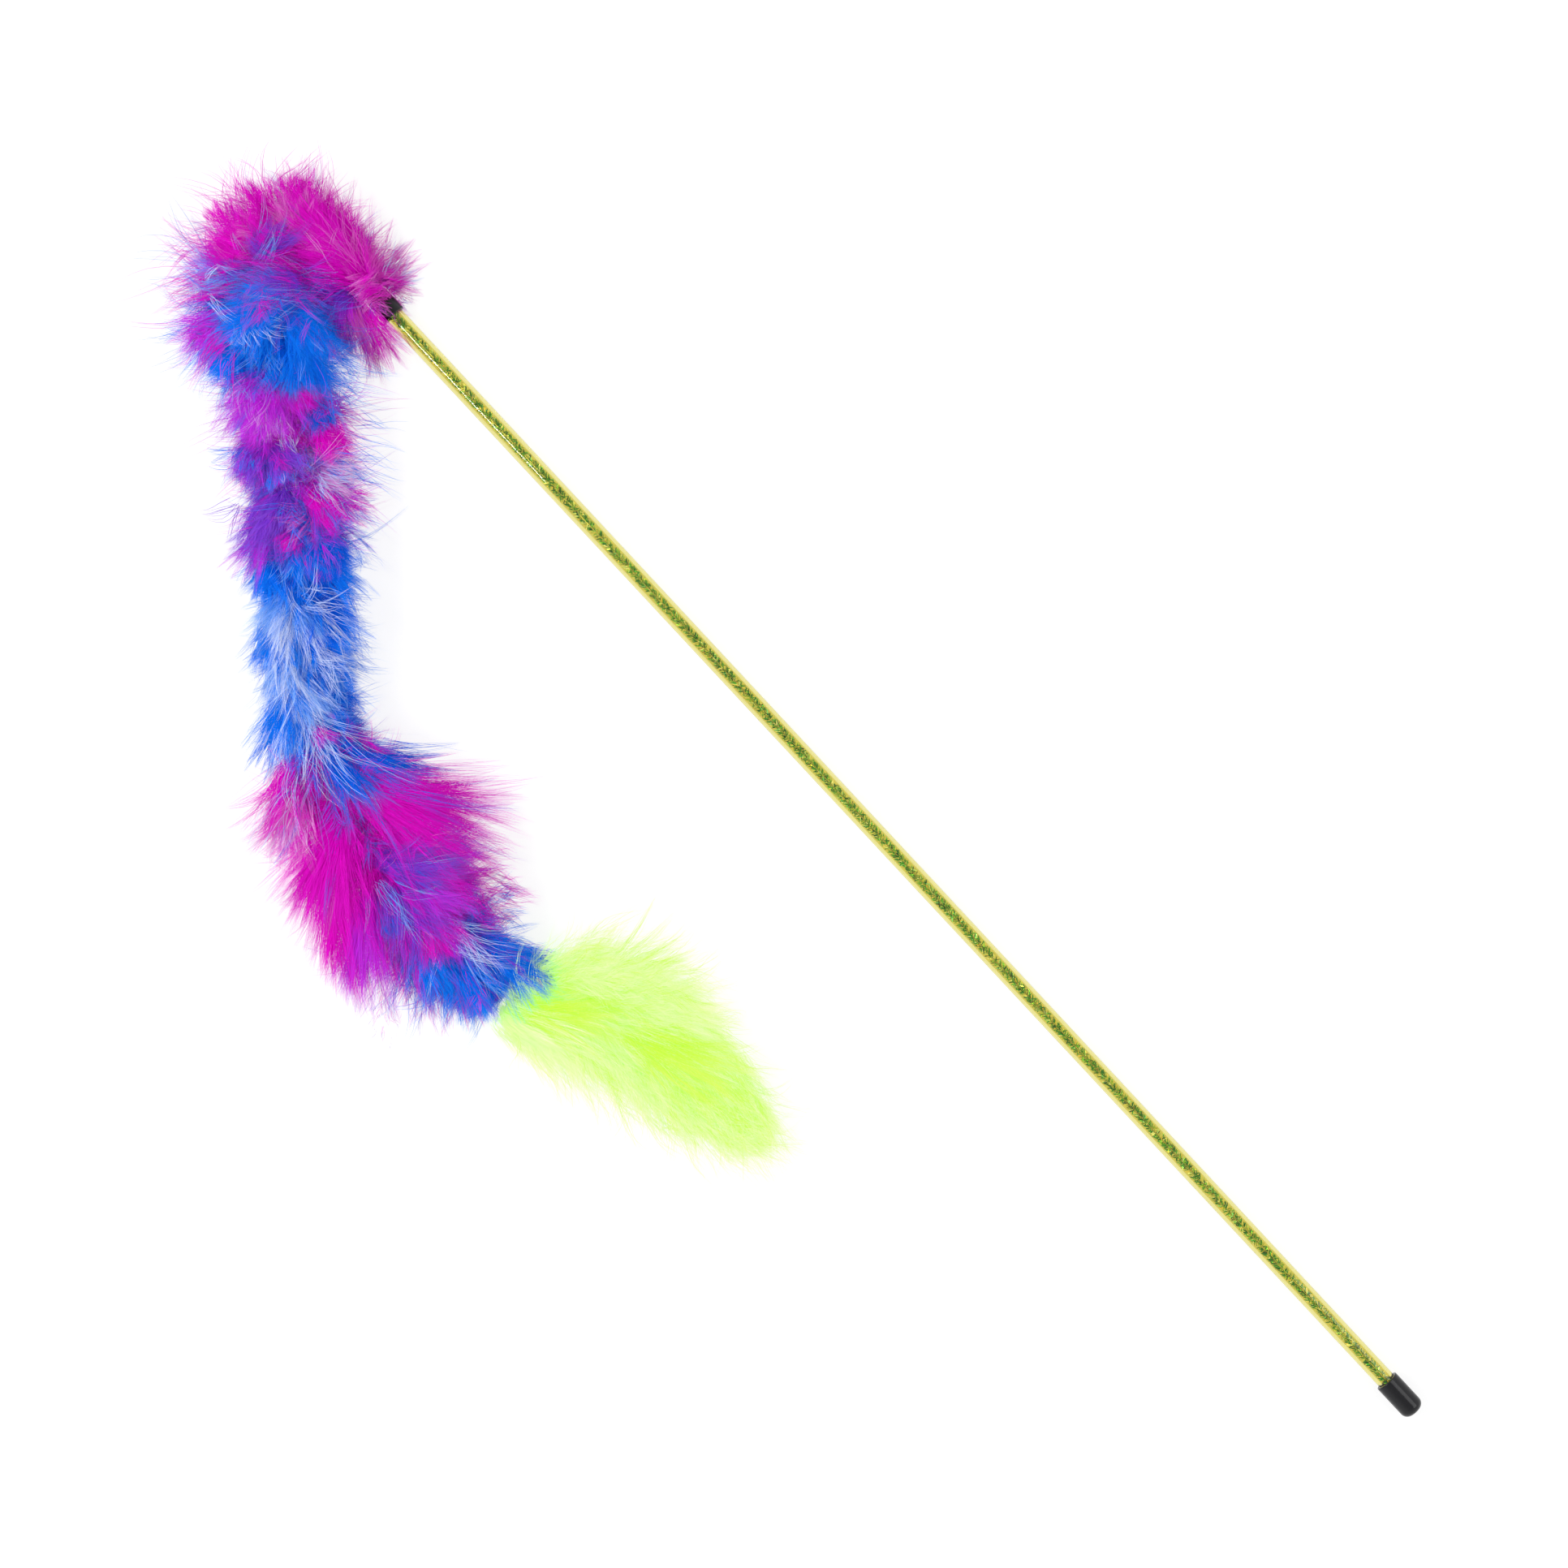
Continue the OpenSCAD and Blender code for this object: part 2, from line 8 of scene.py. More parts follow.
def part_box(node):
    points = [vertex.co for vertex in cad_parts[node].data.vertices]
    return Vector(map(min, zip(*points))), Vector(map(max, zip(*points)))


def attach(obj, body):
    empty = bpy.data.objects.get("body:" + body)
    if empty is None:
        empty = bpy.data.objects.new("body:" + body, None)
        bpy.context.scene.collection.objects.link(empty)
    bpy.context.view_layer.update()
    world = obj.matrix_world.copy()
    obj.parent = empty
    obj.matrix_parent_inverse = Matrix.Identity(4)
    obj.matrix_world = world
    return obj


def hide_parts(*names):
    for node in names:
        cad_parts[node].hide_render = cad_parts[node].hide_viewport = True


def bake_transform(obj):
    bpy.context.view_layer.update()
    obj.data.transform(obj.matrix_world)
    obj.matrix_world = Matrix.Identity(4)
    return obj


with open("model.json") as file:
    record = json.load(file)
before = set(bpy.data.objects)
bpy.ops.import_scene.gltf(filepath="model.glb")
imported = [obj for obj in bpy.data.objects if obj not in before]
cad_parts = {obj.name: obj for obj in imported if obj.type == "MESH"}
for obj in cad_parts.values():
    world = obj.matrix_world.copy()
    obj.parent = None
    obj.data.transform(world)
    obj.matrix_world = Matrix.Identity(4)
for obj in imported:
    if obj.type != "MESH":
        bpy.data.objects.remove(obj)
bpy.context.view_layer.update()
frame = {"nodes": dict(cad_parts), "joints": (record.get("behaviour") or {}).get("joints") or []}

mm = 0.001


class Tap:  # an output socket that takes part in sums
    def __init__(self, net, socket):
        self.net, self.socket = net, socket

    def math(self, operation, first, second):
        return self.net.add("ShaderNodeMath", {"operation": operation}, {0: first, 1: second})

    def __add__(self, other): return self.math("ADD", self, other)
    def __sub__(self, other): return self.math("SUBTRACT", self, other)
    def __rsub__(self, other): return self.math("SUBTRACT", other, self)
    def __mul__(self, other): return self.math("MULTIPLY", self, other)
    def __pow__(self, other): return self.math("POWER", self, other)

    def fract(self): return self.math("FRACT", self, 0.0)

    def out(self, name):  # another output of the same node
        return Tap(self.net, self.socket.node.outputs[name])


class Net:  # the node tree of a material or of the world
    def __init__(self, owner):
        owner.use_nodes = True
        self.tree = owner.node_tree
        self.tree.nodes.clear()

    def add(self, kind, settings, sockets):
        node = self.tree.nodes.new(kind)
        for key, value in settings.items():
            if key == "stops":
                ramp = node.color_ramp
                while len(ramp.elements) < len(value):
                    ramp.elements.new(0.5)
                for element, (place, colour) in zip(ramp.elements, value):
                    element.position = place
                    element.color = (*colour, 1.0)
            elif key == "ramp":
                node.color_ramp.interpolation = value
            else:
                setattr(node, key, value)
        for key, value in sockets.items():
            if isinstance(value, Tap):
                self.tree.links.new(value.socket, node.inputs[key])
            else:
                node.inputs[key].default_value = value
        return Tap(self, node.outputs[0]) if len(node.outputs) else None

    def mix(self, share, first, second, blend="MIX"):
        node = self.add("ShaderNodeMix", {"data_type": "RGBA", "blend_type": blend},
                        {0: share, 6: first, 7: second})
        return Tap(self, node.socket.node.outputs[2])

    def scale(self, colour, amount):
        return self.add("ShaderNodeVectorMath", {"operation": "SCALE"}, {0: colour, "Scale": amount})

    def palette(self, colours, place):  # flat colours, one after another from 0 to 1
        stops = [(k / len(colours), colour) for k, colour in enumerate(colours)]
        return self.add("ShaderNodeValToRGB", {"ramp": "CONSTANT", "stops": stops}, {0: place})

    def uv(self):  # the strand's own coordinates: along it, and its place in the palette
        spot = self.add("ShaderNodeUVMap", {"uv_map": "OFBake"}, {})
        both = self.add("ShaderNodeSeparateXYZ", {}, {0: spot})
        return both, both.out("Y")

    def noise(self, scale, detail=3.0, rough=0.5, place=None):
        place = place or self.add("ShaderNodeTexCoord", {}, {}).out("Object")
        return self.add("ShaderNodeTexNoise", {}, {"Vector": place, "Scale": scale, "Detail": detail,
                                                    "Roughness": rough})

    def bump(self, height, distance, strength):
        return self.add("ShaderNodeBump", {}, {"Height": height, "Distance": distance, "Strength": strength})

    def surface(self, shader):
        self.add("ShaderNodeOutputMaterial", {}, {0: shader})


def newMaterial(name):
    material = bpy.data.materials.new(name)
    return material, Net(material)


view = dict(
    middle=(294.2, 11.4),              # row millimetres under the middle of the picture
    up=(0.7317, -0.6816), width=523.2, lens=90.0, sensor=36.0,
)


def makeCamera():
    data = bpy.data.cameras.new("topCamera")
    data.lens, data.sensor_width = view["lens"], view["sensor"]
    data.clip_start, data.clip_end = 0.05, 20.0
    camera = bpy.data.objects.new("topCamera", data)
    bpy.context.collection.objects.link(camera)
    up = Vector((*view["up"], 0)).normalized()
    back = Vector((0, 0, 1))
    turn = Matrix((up.cross(back), up, back)).transposed().to_4x4()
    distance = view["width"] * mm * view["lens"] / view["sensor"]
    x, y = view["middle"]
    camera.matrix_world = Matrix.Translation((x * mm, y * mm, distance)) @ turn
    bpy.context.scene.camera = camera


makeCamera()
floorZ = -4.095  # the rod lies on its caps
bpy.context.scene.view_settings.view_transform = "Standard"

light = dict(
    floorHalf=4.0, floorMiddle=(0.29, 0.01), floorWhite=0.92, floorShare=0.72, floorGlow=1.12,
    horizon=0.95, halfway=0.9, overhead=0.45, aim=(0.33, 0.0, 0.0),
    # place, size and watts of each lamp
    lamps=dict(
        softboxLeft=((1.35, 0.75, 1.15), (0.9, 0.9), 8.2),
        softboxRight=((-0.7, -0.9, 1.3), (1.0, 1.0), 6.4),
        streak=((0.565, 0.45, 0.66), (0.13, 0.11), 1.35),
    ),
)


def makeFloor():
    mesh = bpy.data.meshes.new("floor")
    half = light["floorHalf"]
    mesh.from_pydata([(-half, -half, 0), (half, -half, 0), (half, half, 0), (-half, half, 0)], [], [(0, 1, 2, 3)])
    floor = bpy.data.objects.new("floor", mesh)
    floor.location = (*light["floorMiddle"], floorZ * mm)
    bpy.context.collection.objects.link(floor)
    material, net = newMaterial("paperWhite")
    rays = net.add("ShaderNodeLightPath", {}, {})
    seen = rays + rays.out("Is Glossy Ray") + rays.out("Is Transmission Ray")
    white = light["floorWhite"]
    matte = net.add("ShaderNodeBsdfDiffuse", {}, {"Color": (white, white, white, 1),
                                                  "Normal": net.bump(net.noise(350.0), 0.0001, 0.1)})
    glow = net.add("ShaderNodeEmission", {}, {"Color": (1, 1, 1, 1), "Strength": light["floorGlow"]})
    net.surface(net.add("ShaderNodeMixShader", {}, {0: seen * light["floorShare"], 1: matte, 2: glow}))
    mesh.materials.append(material)


def makeWorld():
    world = bpy.data.worlds.new("studio")
    bpy.context.scene.world = world
    net = Net(world)
    rays = net.add("ShaderNodeLightPath", {}, {})
    direction = net.add("ShaderNodeTexCoord", {}, {})
    height = net.add("ShaderNodeSeparateXYZ", {}, {0: direction}).out("Z")
    greys = [(0.0, light["horizon"]), (0.5, light["halfway"]), (0.9, light["overhead"] * 1.1),
             (1.0, light["overhead"])]
    dome = net.add("ShaderNodeValToRGB", {"stops": [(place, (grey, grey, grey)) for place, grey in greys]},
                   {0: height})
    colour = net.mix(rays, dome, (1, 1, 1, 1))
    sky = net.add("ShaderNodeBackground", {}, {"Color": colour, "Strength": 1.0})
    net.add("ShaderNodeOutputWorld", {}, {0: sky})


def makeLamp(name, place, size, power):
    data = bpy.data.lights.new(name, "AREA")
    data.shape, data.size, data.size_y, data.energy = "RECTANGLE", size[0], size[1], power
    lamp = bpy.data.objects.new(name, data)
    away = (Vector(place) - Vector(light["aim"])).normalized()
    along = (Vector((1, 0, 0)) - away * away.x).normalized()
    lamp.matrix_world = (Matrix.Translation(place)
                         @ Matrix((along, away.cross(along), away)).transposed().to_4x4())
    bpy.context.collection.objects.link(lamp)


makeFloor()
makeWorld()
for name, (place, size, power) in light["lamps"].items():
    makeLamp(name, place, size, power)
print("camera, floor and light ready")


# The cord's route, which every plume hangs on. All numbers on feathers are millimetres.
route = dict(start=12.0, loopR=15.0, loopA=140.0, tail=102.0, soften=7, probe=2.0)
joints = {joint["name"]: np.array(joint["pos_m"]) / mm for joint in frame["joints"]}
sections = ["magenta", "blue", "orchid", "sky", "rose", "violet", "neon"]
corners = [joints[name] for name in
           ("magenta_nod", "blue_swing", "orchid_nod", "sky_swing", "rose_nod", "violet_swing", "neon_nod")]


def unit(v):
    return v / np.maximum(np.linalg.norm(v, axis=-1, keepdims=True), 1e-9)


def buildRoute():
    start, radius, whole = corners[0], route["loopR"], math.radians(route["loopA"])
    points = [start + (step, 0, 0) for step in np.arange(0, route["start"], 1.0)]
    rise = math.asin(corners[1][2] / (radius * (1 - math.cos(whole))))
    for turn in np.arange(0, whole, 1.0 / radius):
        across = radius * (1 - math.cos(turn))
        points.append(start + (route["start"] + radius * math.sin(turn),
                               across * math.cos(rise), across * math.sin(rise)))
    low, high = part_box("neon_quills")
    tailWay = (np.array(low) + np.array(high)) / 2 / mm - corners[6]
    tailWay[2] = 0
    tailEnd = corners[6] + unit(tailWay) * route["tail"]
    stops = [0]
    for a, b in zip(corners[1:], corners[2:] + [tailEnd]):
        stops.append(len(points))
        count = int(np.linalg.norm(b - a))
        points += [a + (b - a) * k / count for k in range(count)]
    points = np.array(points + [tailEnd])
    smooth = points.copy()
    for k in range(1, len(points) - 1):
        reach = min(route["soften"], k, len(points) - 1 - k)
        smooth[k] = points[k - reach:k + reach + 1].mean(0)
    steps = np.r_[0, np.cumsum(np.linalg.norm(np.diff(smooth, axis=0), axis=1))]
    return smooth, steps, [steps[stop] for stop in stops] + [steps[-1]]


routePoints, routeSteps, sectionStarts = buildRoute()


def spanOf(name):  # where a section starts and ends along the cord
    index = sections.index(name)
    return sectionStarts[index], sectionStarts[index + 1]


def onRoute(s):
    return np.stack([np.interp(s, routeSteps, routePoints[:, axis]) for axis in range(3)], -1)


def wayAt(s):
    way = onRoute(np.asarray(s) + route["probe"]) - onRoute(np.asarray(s) - route["probe"])
    way[..., 2] = 0
    return unit(way)


def rodSideOf(way):  # square to the way, towards the rod
    return np.stack([-way[..., 1], way[..., 0], 0 * way[..., 0]], -1)


skyward = np.array([0.0, 0.0, 1.0])
forth = np.array([1.0, 0.0, 0.0])  # from the handle to the tip


def outward(sweep, azimuth):  # square to the cord: the rod's side at 0, up at a quarter turn
    return rodSideOf(sweep) * np.cos(azimuth)[:, None] + skyward * np.sin(azimuth)[:, None]


def aroundRod(turn):
    return np.stack([0 * turn, np.cos(turn), np.sin(turn)], -1)


# How far the plumes reach from the cord, by millimetres along it: to the rod's side, to the other side, up
reachTable = np.array([
    (0, 20, 11, 20), (8, 24, 12, 22), (18, 26, 17, 25), (28, 26, 23, 25), (38, 27, 25, 25), (49, 27, 31, 25),
    (60, 27, 27, 25), (72, 26, 22, 24), (85, 25, 18, 22), (100, 25, 18, 21), (112, 24, 17, 20), (137, 21, 15, 19),
    (150, 20, 15, 19), (165, 19, 16, 19), (185, 18, 14, 18), (197, 15, 16, 19), (212, 17, 26, 22), (225, 25, 32, 25),
    (240, 29, 34, 26), (256, 29, 40, 26), (270, 23, 42, 25), (285, 17, 31, 22), (300, 14, 16, 19), (320, 11, 11, 13),
    (345, 9, 10, 9)], float)
fluff = dict(lumps=0.13, crown=0.86, fall=0.4, batch=20000)


def reachAt(s, azimuth):
    columns = [np.interp(s, reachTable[:, 0], reachTable[:, k]) for k in (1, 2, 3)]
    sides = np.where(np.cos(azimuth) > 0, columns[0], columns[1])
    lumps = (np.sin(s * 0.47 + 1.7 * np.cos(azimuth)) * 0.5 + np.sin(s * 0.83 - 2.1 * np.sin(azimuth) + 2) * 0.3
             + np.sin(s * 1.31 + 3.0 * np.cos(azimuth)) * 0.2)
    ellipse = np.sqrt((np.cos(azimuth) / sides) ** 2 + (np.sin(azimuth) / columns[2]) ** 2)
    return (1 + fluff["lumps"] * lumps) / ellipse


routeWays = wayAt(routeSteps)


def topOver(points):  # height of the fluff's upper surface over points seen from above
    height, batch = np.empty(len(points)), fluff["batch"]
    for first in range(0, len(points), batch):
        part = points[first:first + batch, :2]
        gap = ((part[:, None] - routePoints[None, :, :2]) ** 2).sum(-1)
        near = gap.argmin(1)
        away = part - routePoints[near, :2]
        side = (away * rodSideOf(routeWays[near])[:, :2]).sum(-1)
        distance = np.sqrt(gap[np.arange(len(part)), near])
        s = routeSteps[near]
        sides = np.where(side > 0, np.interp(s, reachTable[:, 0], reachTable[:, 1]),
                         np.interp(s, reachTable[:, 0], reachTable[:, 2]))
        up = np.interp(s, reachTable[:, 0], reachTable[:, 3])
        share = distance / sides
        crown = np.sqrt(np.maximum(0, 1 - share ** 2)) * up * fluff["crown"]
        height[first:first + batch] = (routePoints[near, 2] + np.where(share < 1, crown, 0)
                                       - np.maximum(0, distance - sides) * fluff["fall"])
    return height


# dye colours at the root and at the tip of a barb
dyes = dict(
    magenta=((0.76, 0.0, 0.58), (0.80, 0.01, 0.66)),
    orchid=((0.58, 0.01, 0.74), (0.64, 0.06, 0.82)),
    blush=((0.70, 0.06, 0.54), (0.80, 0.28, 0.72)),
    violet=((0.20, 0.03, 0.64), (0.32, 0.10, 0.76)),
    blue=((0.0, 0.185, 0.88), (0.01, 0.26, 0.96)),
    deep=((0.0, 0.11, 0.76), (0.01, 0.17, 0.88)),
    mist=((0.07, 0.29, 0.90), (0.40, 0.62, 0.97)),
    lilac=((0.46, 0.60, 0.97), (0.88, 0.92, 1.0)),
    pearl=((0.66, 0.24, 0.74), (0.94, 0.76, 0.96)),
    neon=((0.52, 0.84, 0.06), (0.62, 0.95, 0.16)),
    lime=((0.64, 0.93, 0.32), (0.78, 1.0, 0.58)),
)
dyeNames = list(dyes)


def featherMaterial(name, glow, contrast=0.36):
    material, net = newMaterial(name)
    along, row = net.uv()
    rootColour, tipColour = (net.palette([dye[end] for dye in dyes.values()], row) for end in (0, 1))
    colour = net.mix(along ** 1.5, rootColour, tipColour)
    strand = (row * len(dyes)).fract()                # a shade of its own for each strand
    tone = net.scale(colour, strand * contrast + 0.96 - contrast / 2)
    # The emission is painted light: each barb glows a little in its own colour, standing in for light scattered
    # through the fluff.
    net.surface(net.add("ShaderNodeBsdfPrincipled", {}, {
        "Base Color": tone, "Roughness": 0.66 - along * 0.1, "Specular IOR Level": 0.05,
        "Emission Color": tone, "Emission Strength": glow}))
    return material


def dyeRow(tone, shade):  # place in the palette, with the strand's own shade
    return (tone + 0.08 + 0.84 * np.clip(shade, 0, 1)) / len(dyes)


def gather(points, size, amount, power):  # neighbouring strands draw together towards their tips
    count, rings = points.shape[:2]
    whole = count // size * size
    blocks = points[:whole].reshape(-1, size, rings, 3)
    pull = ((np.arange(rings) / (rings - 1)) ** power * amount)[None, None, :, None]
    blocks += (blocks.mean(1, keepdims=True) - blocks) * pull
    return points


def growPlumes(rng, root, sweep, out, end, width, barbs, tone, shape, rings=5):
    # a plume is a bent rachis from root to end with barbs on both hands
    count = len(root)
    across = unit(np.cross(sweep, out))
    bendPoint = root + (end - root) * 0.3 + out * np.linalg.norm(end - root, axis=1)[:, None] * shape["lift"]
    side = unit(across + out * rng.normal(0, shape["roll"], (count, 1)) + rng.normal(0, 0.15, (count, 3)))
    t = (np.arange(barbs)[None] + rng.random((count, barbs))) / barbs
    t = 0.04 + 0.95 * t ** shape["crowd"]
    q = t[..., None]
    base = root[:, None] * (1 - q) ** 2 + 2 * bendPoint[:, None] * q * (1 - q) + end[:, None] * q ** 2
    way = unit(2 * (1 - q) * (bendPoint - root)[:, None] + 2 * q * (end - bendPoint)[:, None])
    hand = np.where(np.arange(barbs) % 2 == 0, 1.0, -1.0)[None]
    face = unit(np.cross(way, side[:, None]))
    face *= np.sign((face * out[:, None]).sum(-1, keepdims=True) + 1e-6)
    flat = unit(np.cross(face, way))
    lockOf = np.arange(barbs) // 2 // shape["lock"]

    def perLock(spread, own):
        return rng.normal(0, spread, (count, lockOf[-1] + 1))[:, lockOf] + rng.normal(0, own, t.shape)

    opening = np.radians(shape["open"][0] * (1 - t) + shape["open"][1] * t) + perLock(0.16, 0.08)
    closing = opening * shape["close"] + perLock(0.34, 0.08)
    lift = shape["fluff"][0] + perLock(shape["fluff"][1], 0.1)
    length = width[:, None] * (shape["tipShare"] + (1 - shape["tipShare"]) * np.cos(t * math.pi / 2) ** 0.7)
    length = length * (1 + perLock(0.2, 0.1))
    phase, sway = rng.random(t.shape) * 6.28, rng.random(t.shape) * shape["sway"]
    points = [base]
    for k in range(1, rings):
        f = (k - 0.5) / (rings - 1)
        angle = (opening * (1 - f) + closing * f) * hand
        turn = way * np.cos(angle)[..., None] + flat * np.sin(angle)[..., None]
        wave = np.sin(phase + f * 5.0) * sway
        turn = unit(turn + face * (lift * (1 - 0.4 * f) + wave)[..., None] + flat * (wave * 0.7)[..., None])
        points.append(points[-1] + turn * (length / (rings - 1))[..., None])
    points = np.stack(points, 2)                      # plume, barb, ring, xyz
    for start in (0, 1):                              # barbs of one hand draw together in locks
        part = points[:, start::2]
        for plume in part:
            gather(plume, shape["lock"], shape["clump"], 1.4)
    normal = unit(face[:, :, None] * 0.7 + unit(points - root[:, None, None]) * 0.5
                  + rng.normal(0, 0.25, points.shape))
    row = dyeRow(tone[:, None] + 0 * t, 0.5 + perLock(0.2, 0.12) + rng.normal(0, 0.14, (count, 1)))
    thick = shape["thick"] * (0.75 + 0.5 * rng.random(t.shape))
    return dict(points=points.reshape(-1, rings, 3), normal=normal.reshape(-1, rings, 3),
                row=row.ravel(), thick=thick.ravel())


def drawStrands(rng, root, way, length, bend, wave, rings, side=None):
    # free strands that start along way and curl to one side
    count = len(root)
    side = unit(np.cross(way, rng.normal(size=way.shape))) if side is None else side
    other = unit(np.cross(way, side))
    bend, sway = bend[:, None], rng.random((count, 1)) * wave
    phase = rng.random((count, 1)) * 6.28
    points = [root]
    for k in range(1, rings):
        f = (k - 0.5) / (rings - 1)
        turn = unit(way + side * (bend * f + np.sin(phase + f * 7) * sway)
                    + other * (np.sin(phase * 1.7 + f * 5) * sway))
        points.append(points[-1] + turn * (length / (rings - 1))[:, None])
    return np.stack(points, 1)


# Feathers end between y and y plus slack on both sides, and lie flat over soft millimetres on the floor
limits = dict(y=(-17.0, 158.0), slack=(6.5, 10.5), soft=4.0)


def keepInside(points):  # press the lowest barbs flat on the floor, and shorten the ones that reach too far
    low, soft = floorZ + 0.15, limits["soft"]
    z = points[..., 2]
    points[..., 2] = np.where(z < low + soft, low + soft * np.exp(np.minimum(0, z - low - soft) / soft), z)
    for sign, edge, slack in zip((-1, 1), limits["y"], limits["slack"]):
        y = points[..., 1] * sign
        chance = np.abs(np.sin(points[:, 0].sum(-1) * 97.0))
        last = edge * sign + slack * chance
        y0 = np.minimum(y[:, 0], last - 3.0)
        share = np.clip((last - y0) / np.maximum(y.max(1) - y0, 1e-6), 0.05, 1)
        over = y.max(1) > last
        points[over] = points[over, :1] + (points[over] - points[over, :1]) * share[over, None, None]
        points[over, :, 1] += ((y0 - y[:, 0]) * sign)[over, None]
    return points


def ribbonMesh(name, groups, material, feathers=True):
    allVerts, allLoops, allSizes, allUv, first, strands = [], [], [], [], 0, 0
    for group in groups:
        points = group["points"]
        if feathers:
            points = keepInside(points)
        count, rings = points.shape[:2]
        way = np.empty_like(points)
        way[:, 1:-1] = points[:, 2:] - points[:, :-2]
        way[:, 0], way[:, -1] = points[:, 1] - points[:, 0], points[:, -1] - points[:, -2]
        across = unit(np.cross(unit(way), group["normal"]))
        share = np.arange(rings - 1) / (rings - 1)
        taper = np.minimum(0.75 + share, 1.0) * (1 - share ** (1.6 if feathers else 9.0))
        half = across[:, :-1] * (group["thick"][:, None] * taper[None])[..., None] / 2
        pairs = np.stack([points[:, :-1] - half, points[:, :-1] + half], 2).reshape(count, -1, 3)
        verts = np.concatenate([pairs, points[:, -1:]], 1)
        each = verts.shape[1]
        loops = [corner for k in range(rings - 2) for corner in (2 * k, 2 * k + 1, 2 * k + 3, 2 * k + 2)]
        loops = np.array(loops + [each - 3, each - 2, each - 1])
        u = np.r_[np.repeat(share, 2), 1.0]
        v = np.r_[np.tile([-0.002, 0.002], rings - 1), 0.0]
        uv = np.empty((count, len(loops), 2), np.float32)
        uv[..., 0] = u[loops][None]
        uv[..., 1] = group["row"][:, None] + v[loops][None]
        allVerts.append(verts.reshape(-1, 3))
        allLoops.append((loops[None] + first + np.arange(count)[:, None] * each).ravel())
        allSizes.append(np.tile([4] * (rings - 2) + [3], count))
        allUv.append(uv.reshape(-1))
        first += count * each
        strands += count
    verts, loops = np.concatenate(allVerts), np.concatenate(allLoops)
    sizes, uv = np.concatenate(allSizes), np.concatenate(allUv)
    mesh = bpy.data.meshes.new(name)
    mesh.vertices.add(len(verts))
    mesh.vertices.foreach_set("co", (verts * mm).astype(np.float32).ravel())
    mesh.loops.add(len(loops))
    mesh.loops.foreach_set("vertex_index", loops.astype(np.int32))
    mesh.polygons.add(len(sizes))
    mesh.polygons.foreach_set("loop_start", np.r_[0, np.cumsum(sizes)[:-1]].astype(np.int32))
    mesh.uv_layers.new(name="OFBake").data.foreach_set("uv", uv)
    mesh.update(calc_edges=True)
    mesh.materials.append(material)
    piece = bpy.data.objects.new(name, mesh)
    bpy.context.collection.objects.link(piece)
    print(name, strands, "strands,", int((sizes - 2).sum()), "triangles")
    return piece


# Share of each dye, by where the outer part of a plume lies along the cord
dyeTable = [
    (0, dict(magenta=0.86, blush=0.08, violet=0.06)),
    (49, dict(magenta=0.50, violet=0.30, blue=0.20)),
    (57, dict(blue=0.90, deep=0.04, mist=0.06)),
    (84, dict(orchid=0.58, magenta=0.26, blue=0.06, pearl=0.10)),
    (106, dict(orchid=0.34, blue=0.30, pearl=0.18, magenta=0.18)),
    (118, dict(orchid=0.40, violet=0.34, blue=0.16, magenta=0.10)),
    (136, dict(blue=0.66, deep=0.26, mist=0.08)),
    (158, dict(blue=0.62, mist=0.34, lilac=0.04)),
    (184, dict(blue=0.62, mist=0.32, violet=0.06)),
    (204, dict(magenta=0.50, violet=0.20, deep=0.20, mist=0.10)),
    (218, dict(magenta=0.88, blush=0.08, deep=0.04)),
    (262, dict(magenta=0.56, violet=0.30, orchid=0.14)),
    (278, dict(violet=0.40, magenta=0.26, blue=0.34)),
    (296, dict(blue=0.80, violet=0.08, mist=0.12)),
    (312, dict(blue=0.76, mist=0.24)),
]
dyeBleed = 2.5


def pickOf(rng, shares, n):
    chances = np.array(list(shares.values()))
    return rng.choice([dyeNames.index(dye) for dye in shares], n, p=chances / chances.sum())


def pickDyes(rng, s):
    starts = np.array([start for start, _ in dyeTable])
    zone = np.searchsorted(starts, s + rng.normal(0, dyeBleed, s.shape), side="right") - 1
    zone = np.clip(zone, 0, len(starts) - 1)
    chosen = np.empty(len(s), int)
    for k, (_, shares) in enumerate(dyeTable):
        here = zone == k
        chosen[here] = pickOf(rng, shares, here.sum())
    return chosen


plumeShape = dict(lift=0.28, roll=0.6, crowd=0.9, open=(58, 12), close=0.4, fluff=(0.05, 0.42), tipShare=0.42,
                  sway=0.55, lock=4, clump=0.8, thick=0.13)
# glow: strength of the feathers' painted glow, light painted into them in place of light scattered through the fluff
plumePlan = dict(barbs=56, turn=137.5, turnJitter=0.3, leanRun=18, most=1.06, bias=2.0, rootR=1.2, ragged=1.6,
                 dyeAt=0.75, fullReach=16, slim=(0.7, 1.15), glow=0.06)
# past: how far plumes may lie over the next section; core: the shortest plume's share of the full reach;
# lean: run along the cord for each millimetre of reach; far: the strays' share of the full reach
sectionCommon = dict(past=40, core=0.5, plumes=400, down=36000)
sectionPlans = dict(
    magenta=dict(seed=11, core=0.42, lean=(0.1, 0.9), width=(11, 16), strays=2400, far=(1.0, 1.9)),
    blue=dict(seed=12, plumes=380, lean=(0.2, 1.0), width=(11, 15), strays=1200, far=(1.0, 1.65)),
    orchid=dict(seed=13, core=0.48, lean=(0.2, 1.1), width=(10, 14), strays=1400, far=(1.0, 1.9)),
    sky=dict(seed=14, lean=(0.4, 1.4), width=(10, 14), strays=1200, far=(1.0, 1.65)),
    rose=dict(seed=15, lean=(0.5, 1.3), width=(12, 18), strays=1000, far=(1.0, 1.5)),
    violet=dict(seed=16, past=-4, lean=(0.5, 1.3), width=(11, 16), strays=1000, far=(1.0, 1.5)),
)


